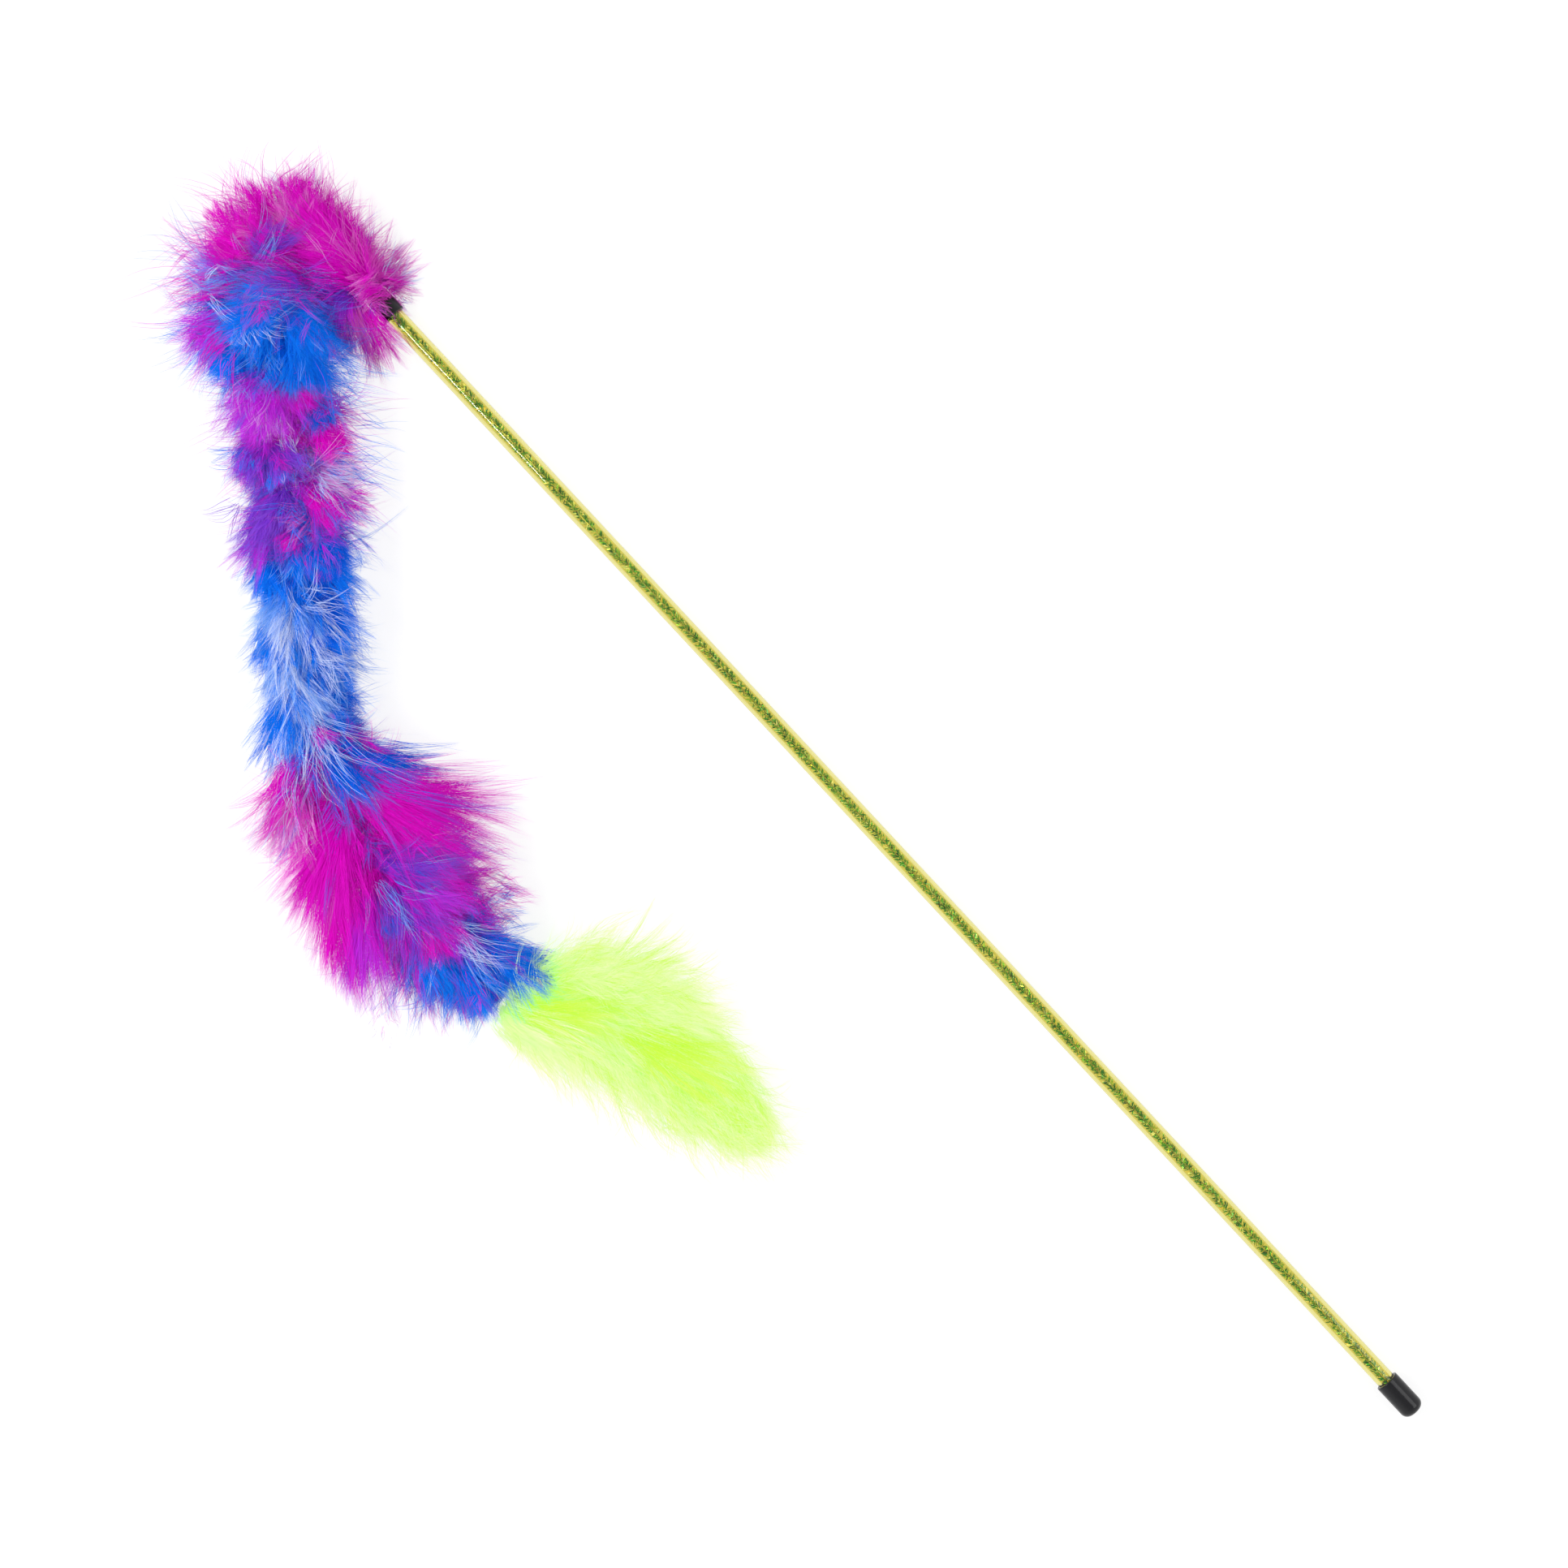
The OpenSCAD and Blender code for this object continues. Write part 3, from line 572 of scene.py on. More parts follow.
def sectionPlumes(rng, name, plan):
    (s0, s1), n, p = spanOf(name), plan["plumes"], plumePlan
    s = s0 + (s1 - s0) * (np.arange(n) + rng.random(n)) / n
    azimuth = np.radians(p["turn"]) * np.arange(n) + rng.normal(0, p["turnJitter"], n)
    sweep = wayAt(s)
    out = outward(sweep, azimuth)
    lean = rng.uniform(*plan["lean"], n)
    share = plan["core"] + (p["most"] - plan["core"]) * rng.random(n) ** p["bias"]
    reach = reachAt(s + lean * p["leanRun"], azimuth) * share
    run = reach * lean
    root = onRoute(s) + out * p["rootR"]
    end = onRoute(np.minimum(s + run, s1 + plan["past"])) + out * reach[:, None] + rng.normal(0, p["ragged"], (n, 3))
    tone = pickDyes(rng, s + run * p["dyeAt"])
    width = rng.uniform(*plan["width"], n) * np.clip(reach / p["fullReach"], *p["slim"])
    return growPlumes(rng, root, sweep, out, end, width, p["barbs"], tone, plumeShape)


downShape = dict(length=(4.0, 9.5), thick=0.10, shell=(0.3, 0.70), patches=130, patchR=12, blur=2.6, bend=1.8,
                 wave=0.7, lock=4)


def sectionDown(rng, name, plan):  # the fine short barbs that fill the fluff, in small locks
    (s0, s1), each, patchR = spanOf(name), downShape["lock"], downShape["patchR"]
    n = plan["down"] // each
    s = rng.uniform(s0, s1 + min(4, plan["past"]), n)
    azimuth = rng.uniform(-math.pi, math.pi, n)
    sweep = wayAt(s)
    out = outward(sweep, azimuth)
    patches = downShape["patches"]                    # each lock takes the dye of the patch nearest to it
    patchS, patchA = rng.uniform(s0 - 4, s1 + 8, patches), rng.uniform(-math.pi, math.pi, patches)
    patchDye = pickDyes(rng, patchS)
    spot = np.stack([s, patchR * np.cos(azimuth), patchR * np.sin(azimuth)], -1)
    spot = spot + rng.normal(0, downShape["blur"], (n, 3))
    patchSpot = np.stack([patchS, patchR * np.cos(patchA), patchR * np.sin(patchA)], -1)
    tone = patchDye[((spot[:, None] - patchSpot[None]) ** 2).sum(-1).argmin(1)]
    depth = rng.uniform(*downShape["shell"], n)
    root = onRoute(s) + out * (reachAt(s, azimuth) * depth)[:, None]
    way = unit(out * 0.9 + sweep * rng.uniform(0, 1.0, (n, 1)) + rng.normal(0, 0.6, (n, 3)))
    length = rng.uniform(*downShape["length"], n)
    return lockStrands(rng, root, way, length, rng.normal(0, downShape["bend"], n), tone, out, each, 4, downShape)


lockSpread = dict(root=0.7, way=0.16, length=(0.6, 1.15), bend=0.3, clump=0.72, power=1.3)


def lockStrands(rng, root, way, length, bend, tone, face, each, rings, shape):
    # strands in small locks that share a root, a way and a curl, and draw together at the tip
    side = unit(np.cross(way, rng.normal(size=way.shape)))
    shade = rng.random(len(root))
    root, way, side, length, bend, tone, face, shade = (
        np.repeat(part, each, 0) for part in (root, way, side, length, bend, tone, face, shade))
    n = len(root)
    own = lockSpread
    points = drawStrands(rng, root + rng.normal(0, own["root"], (n, 3)),
                         unit(way + rng.normal(0, own["way"], (n, 3))), length * rng.uniform(*own["length"], n),
                         bend + rng.normal(0, own["bend"], n), shape["wave"], rings, side)
    gather(points, each, own["clump"], own["power"])
    return dict(points=points, normal=unit(face[:, None] + rng.normal(0, 0.3, points.shape)),
                row=dyeRow(tone, shade * 0.6 + rng.random(n) * 0.4),
                thick=shape["thick"] * (0.6 + 0.6 * rng.random(n)))


strayShape = dict(lock=4, bend=1.7, wave=0.3, thick=0.15, rootShare=0.45, bias=1.8, more=1.1, dyeAt=4)


def sectionStrays(rng, name, plan):  # long barbs that stand out of the fluff
    (s0, s1), each, rootShare = spanOf(name), strayShape["lock"], strayShape["rootShare"]
    n, (least, most) = plan["strays"] // each, plan["far"]
    s = rng.uniform(s0, s1, n)
    azimuth = rng.choice([0.0, math.pi], n) + rng.normal(0, 0.7, n)
    sweep = wayAt(s)
    out = outward(sweep, azimuth)
    reach = reachAt(s, azimuth)
    root = onRoute(s) + out * (reach * rootShare)[:, None]
    way = unit(out + sweep * rng.normal(0.3, 0.5, (n, 1)) + rng.normal(0, 0.12, (n, 3)))
    length = reach * (least - rootShare + (most - least) * rng.random(n) ** strayShape["bias"]) * strayShape["more"]
    return lockStrands(rng, root, way, length, rng.normal(0, strayShape["bend"], n),
                       pickDyes(rng, s + strayShape["dyeAt"]), np.repeat(skyward[None], n, 0), each, 8, strayShape)


# Tufts that lie on top, drawn as seen from above: place of the root, heading, length, half angle of the fan,
# number of barbs, dye, kind
tufts = dict(
    magenta=[
        (509, -1, 6, 30, 17, 560, "magenta", "vane"),
        (510, 0, 2, 7, 50, 90, "magenta", "mop"),
        (503, 3, -163, 8, 40, 50, "blush", "wisp"),
        (502, -3, 164, 7, 40, 40, "violet", "wisp"),
        (502, -1, 110, 6, 40, 40, "magenta", "wisp"),
        (522, 0, -6, 25, 12, 360, "magenta", "brush"),
        (540, -1, -23, 16, 10, 170, "magenta", "brush"),
        (546, 8, -18, 14, 12, 110, "magenta", "brush"),
        (551, 21, -11, 13, 14, 90, "magenta", "brush"),
        (540, 12, 37, 12, 22, 130, "blush", "vane"),
        (535, 15, 6, 11, 20, 120, "violet", "vane"),
        (552, 0, -27, 20, 20, 8, "magenta", "tendril"),
        (549, -5, -34, 16, 20, 6, "magenta", "tendril"),
        (546, -7, -54, 14, 20, 7, "magenta", "tendril"),
        (538, -7, -61, 20, 20, 9, "magenta", "tendril"),
        (533, -8, -62, 21, 16, 8, "blush", "tendril"),
        (557, 11, -17, 19, 20, 8, "magenta", "tendril"),
        (558, 17, 5, 16, 20, 8, "magenta", "tendril"),
        (557, 28, 50, 20, 20, 8, "magenta", "tendril"),
        (555, 34, 75, 15, 20, 8, "blush", "tendril"),
        (549, 41, 71, 15, 20, 6, "magenta", "tendril"),
        (539, 50, 110, 21, 20, 8, "magenta", "tendril"),
        (522, -8, -62, 18, 14, 8, "blush", "tendril"),
        (553, 6, -21, 22, 20, 8, "magenta", "tendril"),
        (531, 2, 15, 19, 20, 200, "blush", "vane"),
        (510, -1, -22, 26, 20, 90, "blush", "wisp"),
        (534, 2, -48, 13, 18, 60, "blush", "brush"),
        (509, -2, -76, 21, 18, 90, "blush", "brush"),
        (507, -3, -75, 21, 10, 30, "lilac", "wisp"),
        (509, -4, -129, 13, 12, 60, "blush", "brush"),
        (506, -3, -172, 11, 20, 60, "blush", "brush"),
        (536, 21, -33, 20, 20, 260, "magenta", "vane"),
        (536, 17, 30, 23, 26, 380, "magenta", "vane"),
        (533, 22, 41, 26, 22, 150, "violet", "vane"),
        (533, 24, 44, 26, 26, 110, "mist", "vane"),
        (538, 30, -7, 11, 20, 160, "magenta", "vane"),
        (539, 24, -94, 23, 18, 130, "violet", "vane"),
        (537, 22, -90, 20, 22, 30, "mist", "wisp"),
        (518, 6, -17, 14, 20, 12, "pearl", "wisp"),
        (511, 5, 43, 35, 14, 420, "violet", "vane"),
        (513, 7, 37, 27, 16, 40, "mist", "wisp"),
        (535, 34, 22, 25, 30, 90, "magenta", "wisp"),
        (531, 38, 82, 24, 26, 220, "orchid", "vane"),
        (525, 40, 86, 26, 22, 90, "magenta", "wisp"),
        (549, 41, 172, 9, 8, 8, "lilac", "curl"),
        (543, 37, -79, 6, 8, 7, "lilac", "curl"),
        (539, 40, 169, 13, 8, 9, "lilac", "curl"),
        (510, 8, 149, 21, 22, 130, "blush", "brush"),
        (506, 6, 165, 21, 20, 120, "magenta", "brush"),
        (505, 8, 170, 22, 18, 70, "blush", "brush"),
        (511, 6, 115, 22, 22, 260, "orchid", "vane"),
        (512, 4, 90, 18, 20, 160, "violet", "vane"),
        (507, 7, -92, 12, 12, 70, "magenta", "brush"),
        (506, -6, 87, 12, 12, 60, "blush", "brush"),
    ],
    blue=[
        (516, 16, 53, 27, 30, 480, "blue", "vane"),
        (524, 26, 92, 23, 30, 480, "blue", "vane"),
        (520, 22, 165, 23, 28, 560, "blue", "vane"),
        (511, 28, 151, 22, 24, 400, "blue", "vane"),
        (523, 35, 98, 11, 34, 40, "mist", "wisp"),
        (524, 34, 157, 12, 26, 60, "lilac", "wisp"),
        (512, 37, 137, 11, 20, 36, "mist", "wisp"),
        (523, 46, 98, 14, 26, 260, "blue", "vane"),
        (506, 27, -172, 26, 22, 60, "blue", "wisp"),
        (497, 33, -169, 23, 18, 36, "blue", "wisp"),
    ],
    orchid=[
        (507, 44, 109, 23, 26, 420, "orchid", "vane"),
        (508, 49, 106, 16, 26, 50, "pearl", "wisp"),
        (500, 49, 125, 13, 26, 50, "pearl", "wisp"),
        (506, 43, 137, 20, 24, 420, "orchid", "vane"),
        (499, 41, 180, 10, 24, 160, "magenta", "vane"),
        (515, 53, 124, 12, 22, 30, "mist", "wisp"),
        (491, 39, 160, 11, 18, 160, "deep", "vane"),
        (487, 42, 176, 17, 22, 260, "magenta", "vane"),
        (493, 61, 106, 16, 24, 280, "violet", "vane"),
        (495, 64, 119, 9, 18, 90, "blue", "vane"),
        (492, 58, 166, 17, 24, 200, "violet", "vane"),
        (489, 52, 173, 7, 22, 16, "lilac", "wisp"),
        (476, 53, -154, 19, 22, 130, "pearl", "brush"),
        (472, 54, -167, 15, 26, 60, "lilac", "wisp"),
        (474, 51, -106, 9, 24, 40, "blush", "wisp"),
        (484, 62, 158, 8, 16, 120, "blue", "vane"),
        (475, 46, -161, 23, 25, 26, "blue", "wisp"),
        (466, 51, -178, 23, 20, 22, "deep", "wisp"),
        (478, 36, -156, 18, 14, 18, "blue", "wisp"),
        (474, 60, -178, 21, 16, 260, "magenta", "vane"),
        (466, 55, -151, 14, 8, 60, "magenta", "brush"),
        (478, 64, 106, 29, 16, 420, "violet", "vane"),
        (472, 78, 103, 20, 12, 150, "orchid", "brush"),
        (464, 66, 91, 12, 20, 60, "blush", "wisp"),
        (464, 72, 115, 8, 14, 80, "magenta", "vane"),
        (498, 70, 47, 10, 30, 14, "blue", "curl"),
        (486, 81, 85, 13, 22, 12, "violet", "curl"),
    ],
    sky=[
        (459, 68, 176, 17, 28, 420, "deep", "vane"),
        (461, 74, 154, 14, 22, 300, "blue", "vane"),
        (463, 84, 115, 15, 24, 260, "blue", "vane"),
        (458, 79, 133, 11, 18, 40, "mist", "wisp"),
        (454, 84, 108, 23, 24, 160, "mist", "vane"),
        (447, 87, 155, 17, 24, 120, "mist", "vane"),
        (437, 100, 112, 21, 22, 160, "mist", "vane"),
        (430, 104, 163, 21, 20, 120, "mist", "vane"),
        (448, 89, 118, 17, 16, 90, "lilac", "brush"),
        (444, 99, 145, 19, 14, 70, "lilac", "brush"),
        (434, 104, 173, 20, 14, 60, "lilac", "brush"),
        (446, 86, 174, 20, 14, 50, "lilac", "brush"),
        (432, 94, -167, 19, 16, 50, "lilac", "wisp"),
        (425, 111, 123, 22, 14, 26, "lilac", "brush"),
        (453, 86, 125, 30, 26, 34, "lilac", "wisp"),
        (445, 87, -81, 15, 30, 16, "lilac", "wisp"),
        (445, 92, 153, 28, 26, 26, "lilac", "wisp"),
        (439, 90, -158, 19, 24, 24, "lilac", "wisp"),
        (436, 99, 104, 23, 24, 24, "lilac", "wisp"),
        (432, 94, 171, 20, 26, 22, "lilac", "wisp"),
        (450, 86, -165, 21, 30, 26, "lilac", "wisp"),
        (437, 100, 143, 35, 20, 44, "lilac", "wisp"),
        (426, 112, 125, 25, 18, 26, "lilac", "wisp"),
        (419, 112, 146, 26, 16, 22, "lilac", "wisp"),
        (425, 107, 166, 50, 14, 40, "lilac", "wisp"),
        (424, 110, 162, 36, 14, 30, "lilac", "wisp"),
        (443, 83, 164, 18, 26, 400, "deep", "vane"),
        (449, 97, 125, 19, 20, 260, "blue", "vane"),
        (431, 109, 129, 25, 16, 300, "blue", "vane"),
        (450, 98, 116, 20, 20, 36, "mist", "wisp"),
        (461, 85, 97, 16, 24, 50, "blue", "brush"),
        (450, 74, -167, 17, 24, 60, "blue", "brush"),
        (437, 84, -170, 14, 22, 60, "blue", "brush"),
        (423, 121, 114, 18, 18, 60, "blue", "brush"),
    ],
    rose=[
        (398, 116, -158, 55, 15, 1100, "magenta", "brush"),
        (403, 127, 119, 28, 20, 260, "blush", "vane"),
        (407, 123, 123, 39, 16, 30, "lilac", "wisp"),
        (400, 133, 134, 18, 22, 90, "pearl", "brush"),
        (410, 123, 114, 32, 18, 220, "magenta", "vane"),
        (385, 123, 114, 38, 26, 900, "magenta", "brush"),
        (376, 138, 140, 46, 13, 300, "magenta", "brush"),
        (410, 112, 176, 32, 10, 200, "deep", "brush"),
        (403, 111, -149, 34, 7, 220, "deep", "brush"),
        (415, 112, -173, 11, 16, 60, "magenta", "vane"),
    ],
    violet=[
        (369, 126, -147, 33, 24, 560, "violet", "vane"),
        (361, 130, 179, 33, 26, 360, "violet", "vane"),
        (360, 124, -167, 29, 24, 260, "orchid", "vane"),
        (361, 134, 129, 41, 15, 380, "orchid", "brush"),
        (344, 124, 153, 20, 16, 300, "magenta", "vane"),
        (354, 133, 164, 12, 20, 120, "deep", "vane"),
        (338, 133, 148, 21, 14, 300, "blue", "brush"),
        (327, 129, 158, 23, 16, 300, "blue", "brush"),
        (337, 123, 177, 30, 24, 60, "lilac", "wisp"),
        (361, 130, 178, 25, 24, 40, "mist", "wisp"),
        (325, 119, -164, 29, 18, 380, "blue", "vane"),
        (337, 108, -172, 18, 20, 60, "magenta", "wisp"),
        (330, 109, -116, 11, 24, 50, "blue", "wisp"),
    ],
    neon=[
        (303, 133, -173, 23, 14, 170, "lime", "brush"),
        (298, 130, -173, 35, 14, 200, "lime", "brush"),
        (301, 128, -139, 34, 16, 240, "neon", "brush"),
        (294, 115, -92, 30, 20, 170, "lime", "brush"),
        (292, 113, -110, 41, 16, 220, "neon", "brush"),
        (282, 108, -132, 43, 16, 220, "lime", "brush"),
        (274, 108, -154, 45, 14, 180, "neon", "brush"),
        (295, 118, -23, 22, 26, 44, "lime", "wisp"),
        (297, 121, 9, 18, 26, 24, "lime", "wisp"),
    ],
)
# more: multiplies the number of barbs; stem: share of the length along which barbs leave; sink and lift: depth of
# the root below the fluff's surface and height of the tip above it; inward: how far the outer barbs curl back
tuftKinds = dict(
    vane=dict(more=2.4, stem=0.62, wave=0.35, bend=0.9, thick=0.115, lock=9, clump=0.78, power=1.3, sink=8.0,
              lift=0.8, short=(0.4, 1.3), rootSpread=3.0, stray=0.2, inward=0.0),
    brush=dict(more=2.2, stem=0.55, wave=0.2, bend=0.35, thick=0.12, lock=10, clump=0.92, power=1.1, sink=8.0,
               lift=1.2, short=(0.55, 1.35), rootSpread=3.6, stray=0.07, inward=-0.12),
    wisp=dict(more=1.0, stem=0.40, wave=0.4, bend=1.3, thick=0.12, lock=4, clump=0.8, power=1.2, sink=2.5,
              lift=2.2, short=(0.5, 1.3), rootSpread=5.0, stray=0.3, inward=0.0),
    curl=dict(more=1.0, stem=0.10, wave=0.3, bend=1.4, thick=0.18, lock=4, clump=0.6, power=1.2, sink=1.0,
              lift=3.0, short=(0.9, 1.2), rootSpread=1.0, stray=0.05, inward=0.3),
    tendril=dict(more=1.0, stem=0.10, wave=0.4, bend=1.9, thick=0.16, lock=3, clump=0.35, power=1.2, sink=6.0,
                 lift=1.0, short=(0.7, 1.3), rootSpread=3.0, stray=0.25, inward=0.0),
    mop=dict(more=1.0, stem=0.15, wave=0.5, bend=1.1, thick=0.12, lock=4, clump=0.6, power=1.4, sink=16.0,
             lift=-2.0, short=(0.6, 1.3), rootSpread=2.5, stray=0.3, inward=0.0),
)
tuftRings, tuftMixed = 7, 0.12  # points along a barb, and the share of locks in a neighbour's dye


def drawTuft(rng, tuft):
    x, y, heading, long, fan, n, dye, kindName = tuft
    kind = tuftKinds[kindName]
    n = int(n * kind["more"])
    lockOf = np.arange(n) // kind["lock"]
    locks = lockOf[-1] + 1

    def perLock(spread, own):
        return rng.normal(0, spread, locks)[lockOf] + rng.normal(0, own, n)

    angle = np.clip(perLock(0.6, 0.05), -1.6, 1.6)
    order = np.radians(heading) + np.radians(fan) * angle + perLock(kind["stray"], 0.04 + 1.2 / long)
    axis = np.array([math.cos(math.radians(heading)), math.sin(math.radians(heading)), 0.0])
    square = np.array([-axis[1], axis[0], 0.0])
    from0 = (rng.random(locks) ** 1.2)[lockOf] * kind["stem"]
    root = (np.array([x, y, 0.0]) + axis * (from0 * long + rng.normal(0, 0.8, n))[:, None]
            + square * (angle * kind["rootSpread"] + rng.normal(0, 0.9, n))[:, None])
    way = np.stack([np.cos(order), np.sin(order), 0 * order], -1)
    length = long * (1 - from0) * rng.uniform(*kind["short"], locks)[lockOf] * rng.uniform(0.8, 1.1, n)
    bend = -angle * kind["inward"] + perLock(kind["bend"] * 0.6, kind["bend"] * 0.12)
    bend = bend + rng.normal(0, kind["bend"]) * 0.3
    points = drawStrands(rng, root, way, length, bend, kind["wave"], tuftRings, np.repeat(square[None], n, 0))
    gather(points, kind["lock"], kind["clump"], kind["power"])
    t = np.linspace(0, 1, tuftRings)[None]
    top = topOver(points.reshape(-1, 3)).reshape(n, tuftRings)
    own = perLock(1.0, 0.3)[:, None]
    points[..., 2] = (top - kind["sink"] * (1 - np.minimum(1, from0[:, None] / 0.5 + t)) ** 2
                      + kind["lift"] * (0.4 + t) + own * (0.5 + t) + np.sin(t * 6 + own * 9) * 0.3)
    points[..., 2] = (points[..., 2] + np.roll(points[..., 2], 1, 1) * (t > 0) + (t == 0) * points[..., 2]) / 2
    other = dyeNames.index("lime") if dye in ("neon", "lime") else pickDyes(rng, np.full(locks, nearestS(x, y)))
    tone = np.where(rng.random(locks) < tuftMixed, other, dyeNames.index(dye))[lockOf]
    return dict(points=points, normal=unit(skyward + rng.normal(0, 0.28, points.shape)),
                row=dyeRow(tone, 0.5 + perLock(0.26, 0.1)), thick=kind["thick"] * (0.7 + 0.6 * rng.random(n)))


def nearestS(x, y):
    return routeSteps[((routePoints[:, :2] - (x, y)) ** 2).sum(-1).argmin()]


# Half the length of a fold at each joint, and the fold's way where the cord's own way is not taken; nothing below
# bends the pieces.
# The magenta section curls back to the cap, so its fold faces away from the rod, and the feathers beside the cap stay
# with it.
fold = dict(half=10, ways=dict(magenta=(-0.08, 0.997, 0.0)))


def joinPieces(piece, name):  # the neon pieces ride on their section; the others get their transform baked in, and the fold at the far end is worked out but not applied
    index = sections.index(name)
    if name == "neon":
        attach(piece, name)
    else:
        corner, way = corners[index + 1], wayAt(np.array([sectionStarts[index + 1]]))[0]
        way = np.array(fold["ways"].get(name, way)) * fold["half"]
        sections[index + 1]
        tuple((corner - way) * mm)
        tuple((corner + way) * mm)
        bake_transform(piece)
    name + "_feather"


def dressSection(name, plan):
    rng = np.random.default_rng(plan["seed"])
    material = featherMaterial(name + "Marabou", plumePlan["glow"])
    plumes = ribbonMesh(name + "Feathers", [sectionPlumes(rng, name, plan)], material)
    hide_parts(name + "_plume")
    joinPieces(plumes, name)
    down = ribbonMesh(name + "Down", [sectionDown(rng, name, plan)], material)
    joinPieces(down, name)
    wisps = ribbonMesh(name + "Wisps", [sectionStrays(rng, name, plan)]
                       + [drawTuft(rng, tuft) for tuft in tufts[name]], material)
    joinPieces(wisps, name)


for name, plan in sectionPlans.items():
    dressSection(name, {**sectionCommon, **plan})


# Feathers bound at the cap's mouth, which stay around the cap when the boa swings
collar = dict(
    seed=19, mouth=507.8, capR=4.6, clear=1.5, fold=3,
    plumes=34, barbs=40, start=3.0, boaShare=0.62, boaSide=(-35, 70), farSide=(150, 230), flat=0.55, sag=0.15,
    back=(-2, 20), backBySide=(1.15, 0.6), reach=(11, 20), reachBySide=(1.0, 0.8), width=(7, 11),
    plumeDyes=dict(magenta=0.38, blush=0.3, orchid=0.14, violet=0.06, lilac=0.12),
    down=2200, downR=(0.3, 4.4), downRun=5, downLength=(5, 10), downBend=1.2,
    downDyes=dict(magenta=0.6, orchid=0.24, violet=0.16),
    skirt=1100, skirtR=8.0, skirtRun=(-5, 5), skirtLength=(4, 8), skirtBend=0.6,
    skirtDyes=dict(magenta=0.6, blush=0.2, violet=0.2),
)
collarShape = dict(lift=0.1, roll=0.6, crowd=0.8, open=(46, 18), close=0.5, fluff=(0.02, 0.22), tipShare=0.6,
                   sway=0.4, lock=4, clump=0.8, thick=0.11)


def collarPlumes(rng):
    n = collar["plumes"]
    turn = np.radians(np.where(rng.random(n) < collar["boaShare"], rng.uniform(*collar["boaSide"], n),
                               rng.uniform(*collar["farSide"], n)))
    out = unit(np.stack([0 * turn, np.cos(turn), np.sin(turn) * collar["flat"] - collar["sag"]], -1))
    boaSide = out[:, 1] > 0
    back = rng.uniform(*collar["back"], n) * np.where(boaSide, *collar["backBySide"])
    far = rng.uniform(*collar["reach"], n) * np.where(boaSide, *collar["reachBySide"])
    middle = np.array([collar["mouth"] + collar["start"], 0, 0])
    root = middle + out + rng.normal(0, 0.5, (n, 3))
    end = middle + out * far[:, None] - forth * back[:, None]
    sweep = np.repeat([[-1.0, 0.0, 0.0]], n, 0)
    tone = pickOf(rng, collar["plumeDyes"], n)
    plumes = growPlumes(rng, root, sweep, out, end, rng.uniform(*collar["width"], n), collar["barbs"], tone,
                        collarShape)
    points = plumes["points"]
    over = np.hypot(points[..., 1], points[..., 2])
    push = np.where(points[..., 0] < collar["mouth"] + collar["clear"],
                    np.maximum(1, collar["capR"] / np.maximum(over, 0.5)), 1)
    points[..., 1:] *= push[..., None]                # no barb enters the cap
    return plumes


def collarDown(rng):  # hides the mouth
    n, each = collar["down"], downShape["lock"]
    out = aroundRod(rng.uniform(-math.pi, math.pi, n))
    base = np.array([collar["mouth"] + 0.4, 0, 0]) + out * rng.uniform(*collar["downR"], n)[:, None]
    base[:, 0] += rng.random(n) ** 1.6 * collar["downRun"]
    way = unit(out * rng.uniform(0.2, 1.4, (n, 1)) + forth * rng.uniform(0, 1, (n, 1)) + rng.normal(0, 0.3, (n, 3)))
    tones = pickOf(rng, collar["downDyes"], n)
    down = lockStrands(rng, base, way, rng.uniform(*collar["downLength"], n), rng.normal(0, collar["downBend"], n),
                       tones, out, each, 4, downShape)
    down["points"][..., 0] = np.maximum(down["points"][..., 0], collar["mouth"] + 0.35)
    return down


def collarSkirt(rng):  # stands out beside the cap
    n, each = collar["skirt"], downShape["lock"]
    out = aroundRod(rng.choice([0.0, math.pi], n) + rng.normal(0, 0.5, n))
    base = np.array([collar["mouth"], 0, 0]) + out * rng.uniform(collar["capR"], collar["skirtR"], n)[:, None]
    base[:, 0] += rng.uniform(*collar["skirtRun"], n)
    way = unit(out + rng.normal(0, 0.7, (n, 3)) * (1, 0.2, 0.6))
    tones = pickOf(rng, collar["skirtDyes"], n)
    skirt = lockStrands(rng, base, way, rng.uniform(*collar["skirtLength"], n),
                        rng.normal(0, collar["skirtBend"], n), tones, out, each, 4, downShape)
    side = np.sign(base[:, 1]).repeat(each)[:, None]
    skirt["points"][..., 1] = side * np.maximum(side * skirt["points"][..., 1], collar["capR"] - 0.2)
    return skirt


def makeCollar():
    rng = np.random.default_rng(collar["seed"])
    groups = [collarPlumes(rng), collarDown(rng), collarSkirt(rng)]
    piece = ribbonMesh("collarFeathers", groups, featherMaterial("collarMarabou", plumePlan["glow"]))
    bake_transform(piece)


makeCollar()


# The neon tail: outline by millimetres from its binding, to the rod's side and to the other
tailOutline = np.array([(0, 10, 10), (8, 22, 15), (20, 35, 21), (54, 34, 27), (68, 26, 29), (87, 8, 27),
                        (100, -6, 20), (104, -10, 16)], float)
tailPlan = dict(
    seed=21, plumes=270, barbs=80, width=(12, 18), lastRoot=56, run=(14, 50), lastTip=(90, 103),
    # glow: a stronger painted glow that makes the neon feathers brighter than their colour alone can reflect
    rootShare=(0.35, 0.4), tipShare=(0.7, 0.96), flat=0.9, high=9.0, sag=(0.08, 5.5), glow=0.34, contrast=0.14,
    heights=([0, 15, 60, 104], [0.45, 1, 0.9, 0.35]), widths=([20, 50, 99], [0.8, 1.0, 0.7]),
    # loose strands: number, strands in a lock, length, thickness, share of the width, points along a strand
    loose=[(24000, 3, (5, 11), 0.10, 0.62, 4), (2400, 4, (16, 30), 0.11, 0.85, 8)],
    looseEnd=96, looseWave=0.4, neonShare=[(0.6, 0.5), (0.5, 0.4)],
)
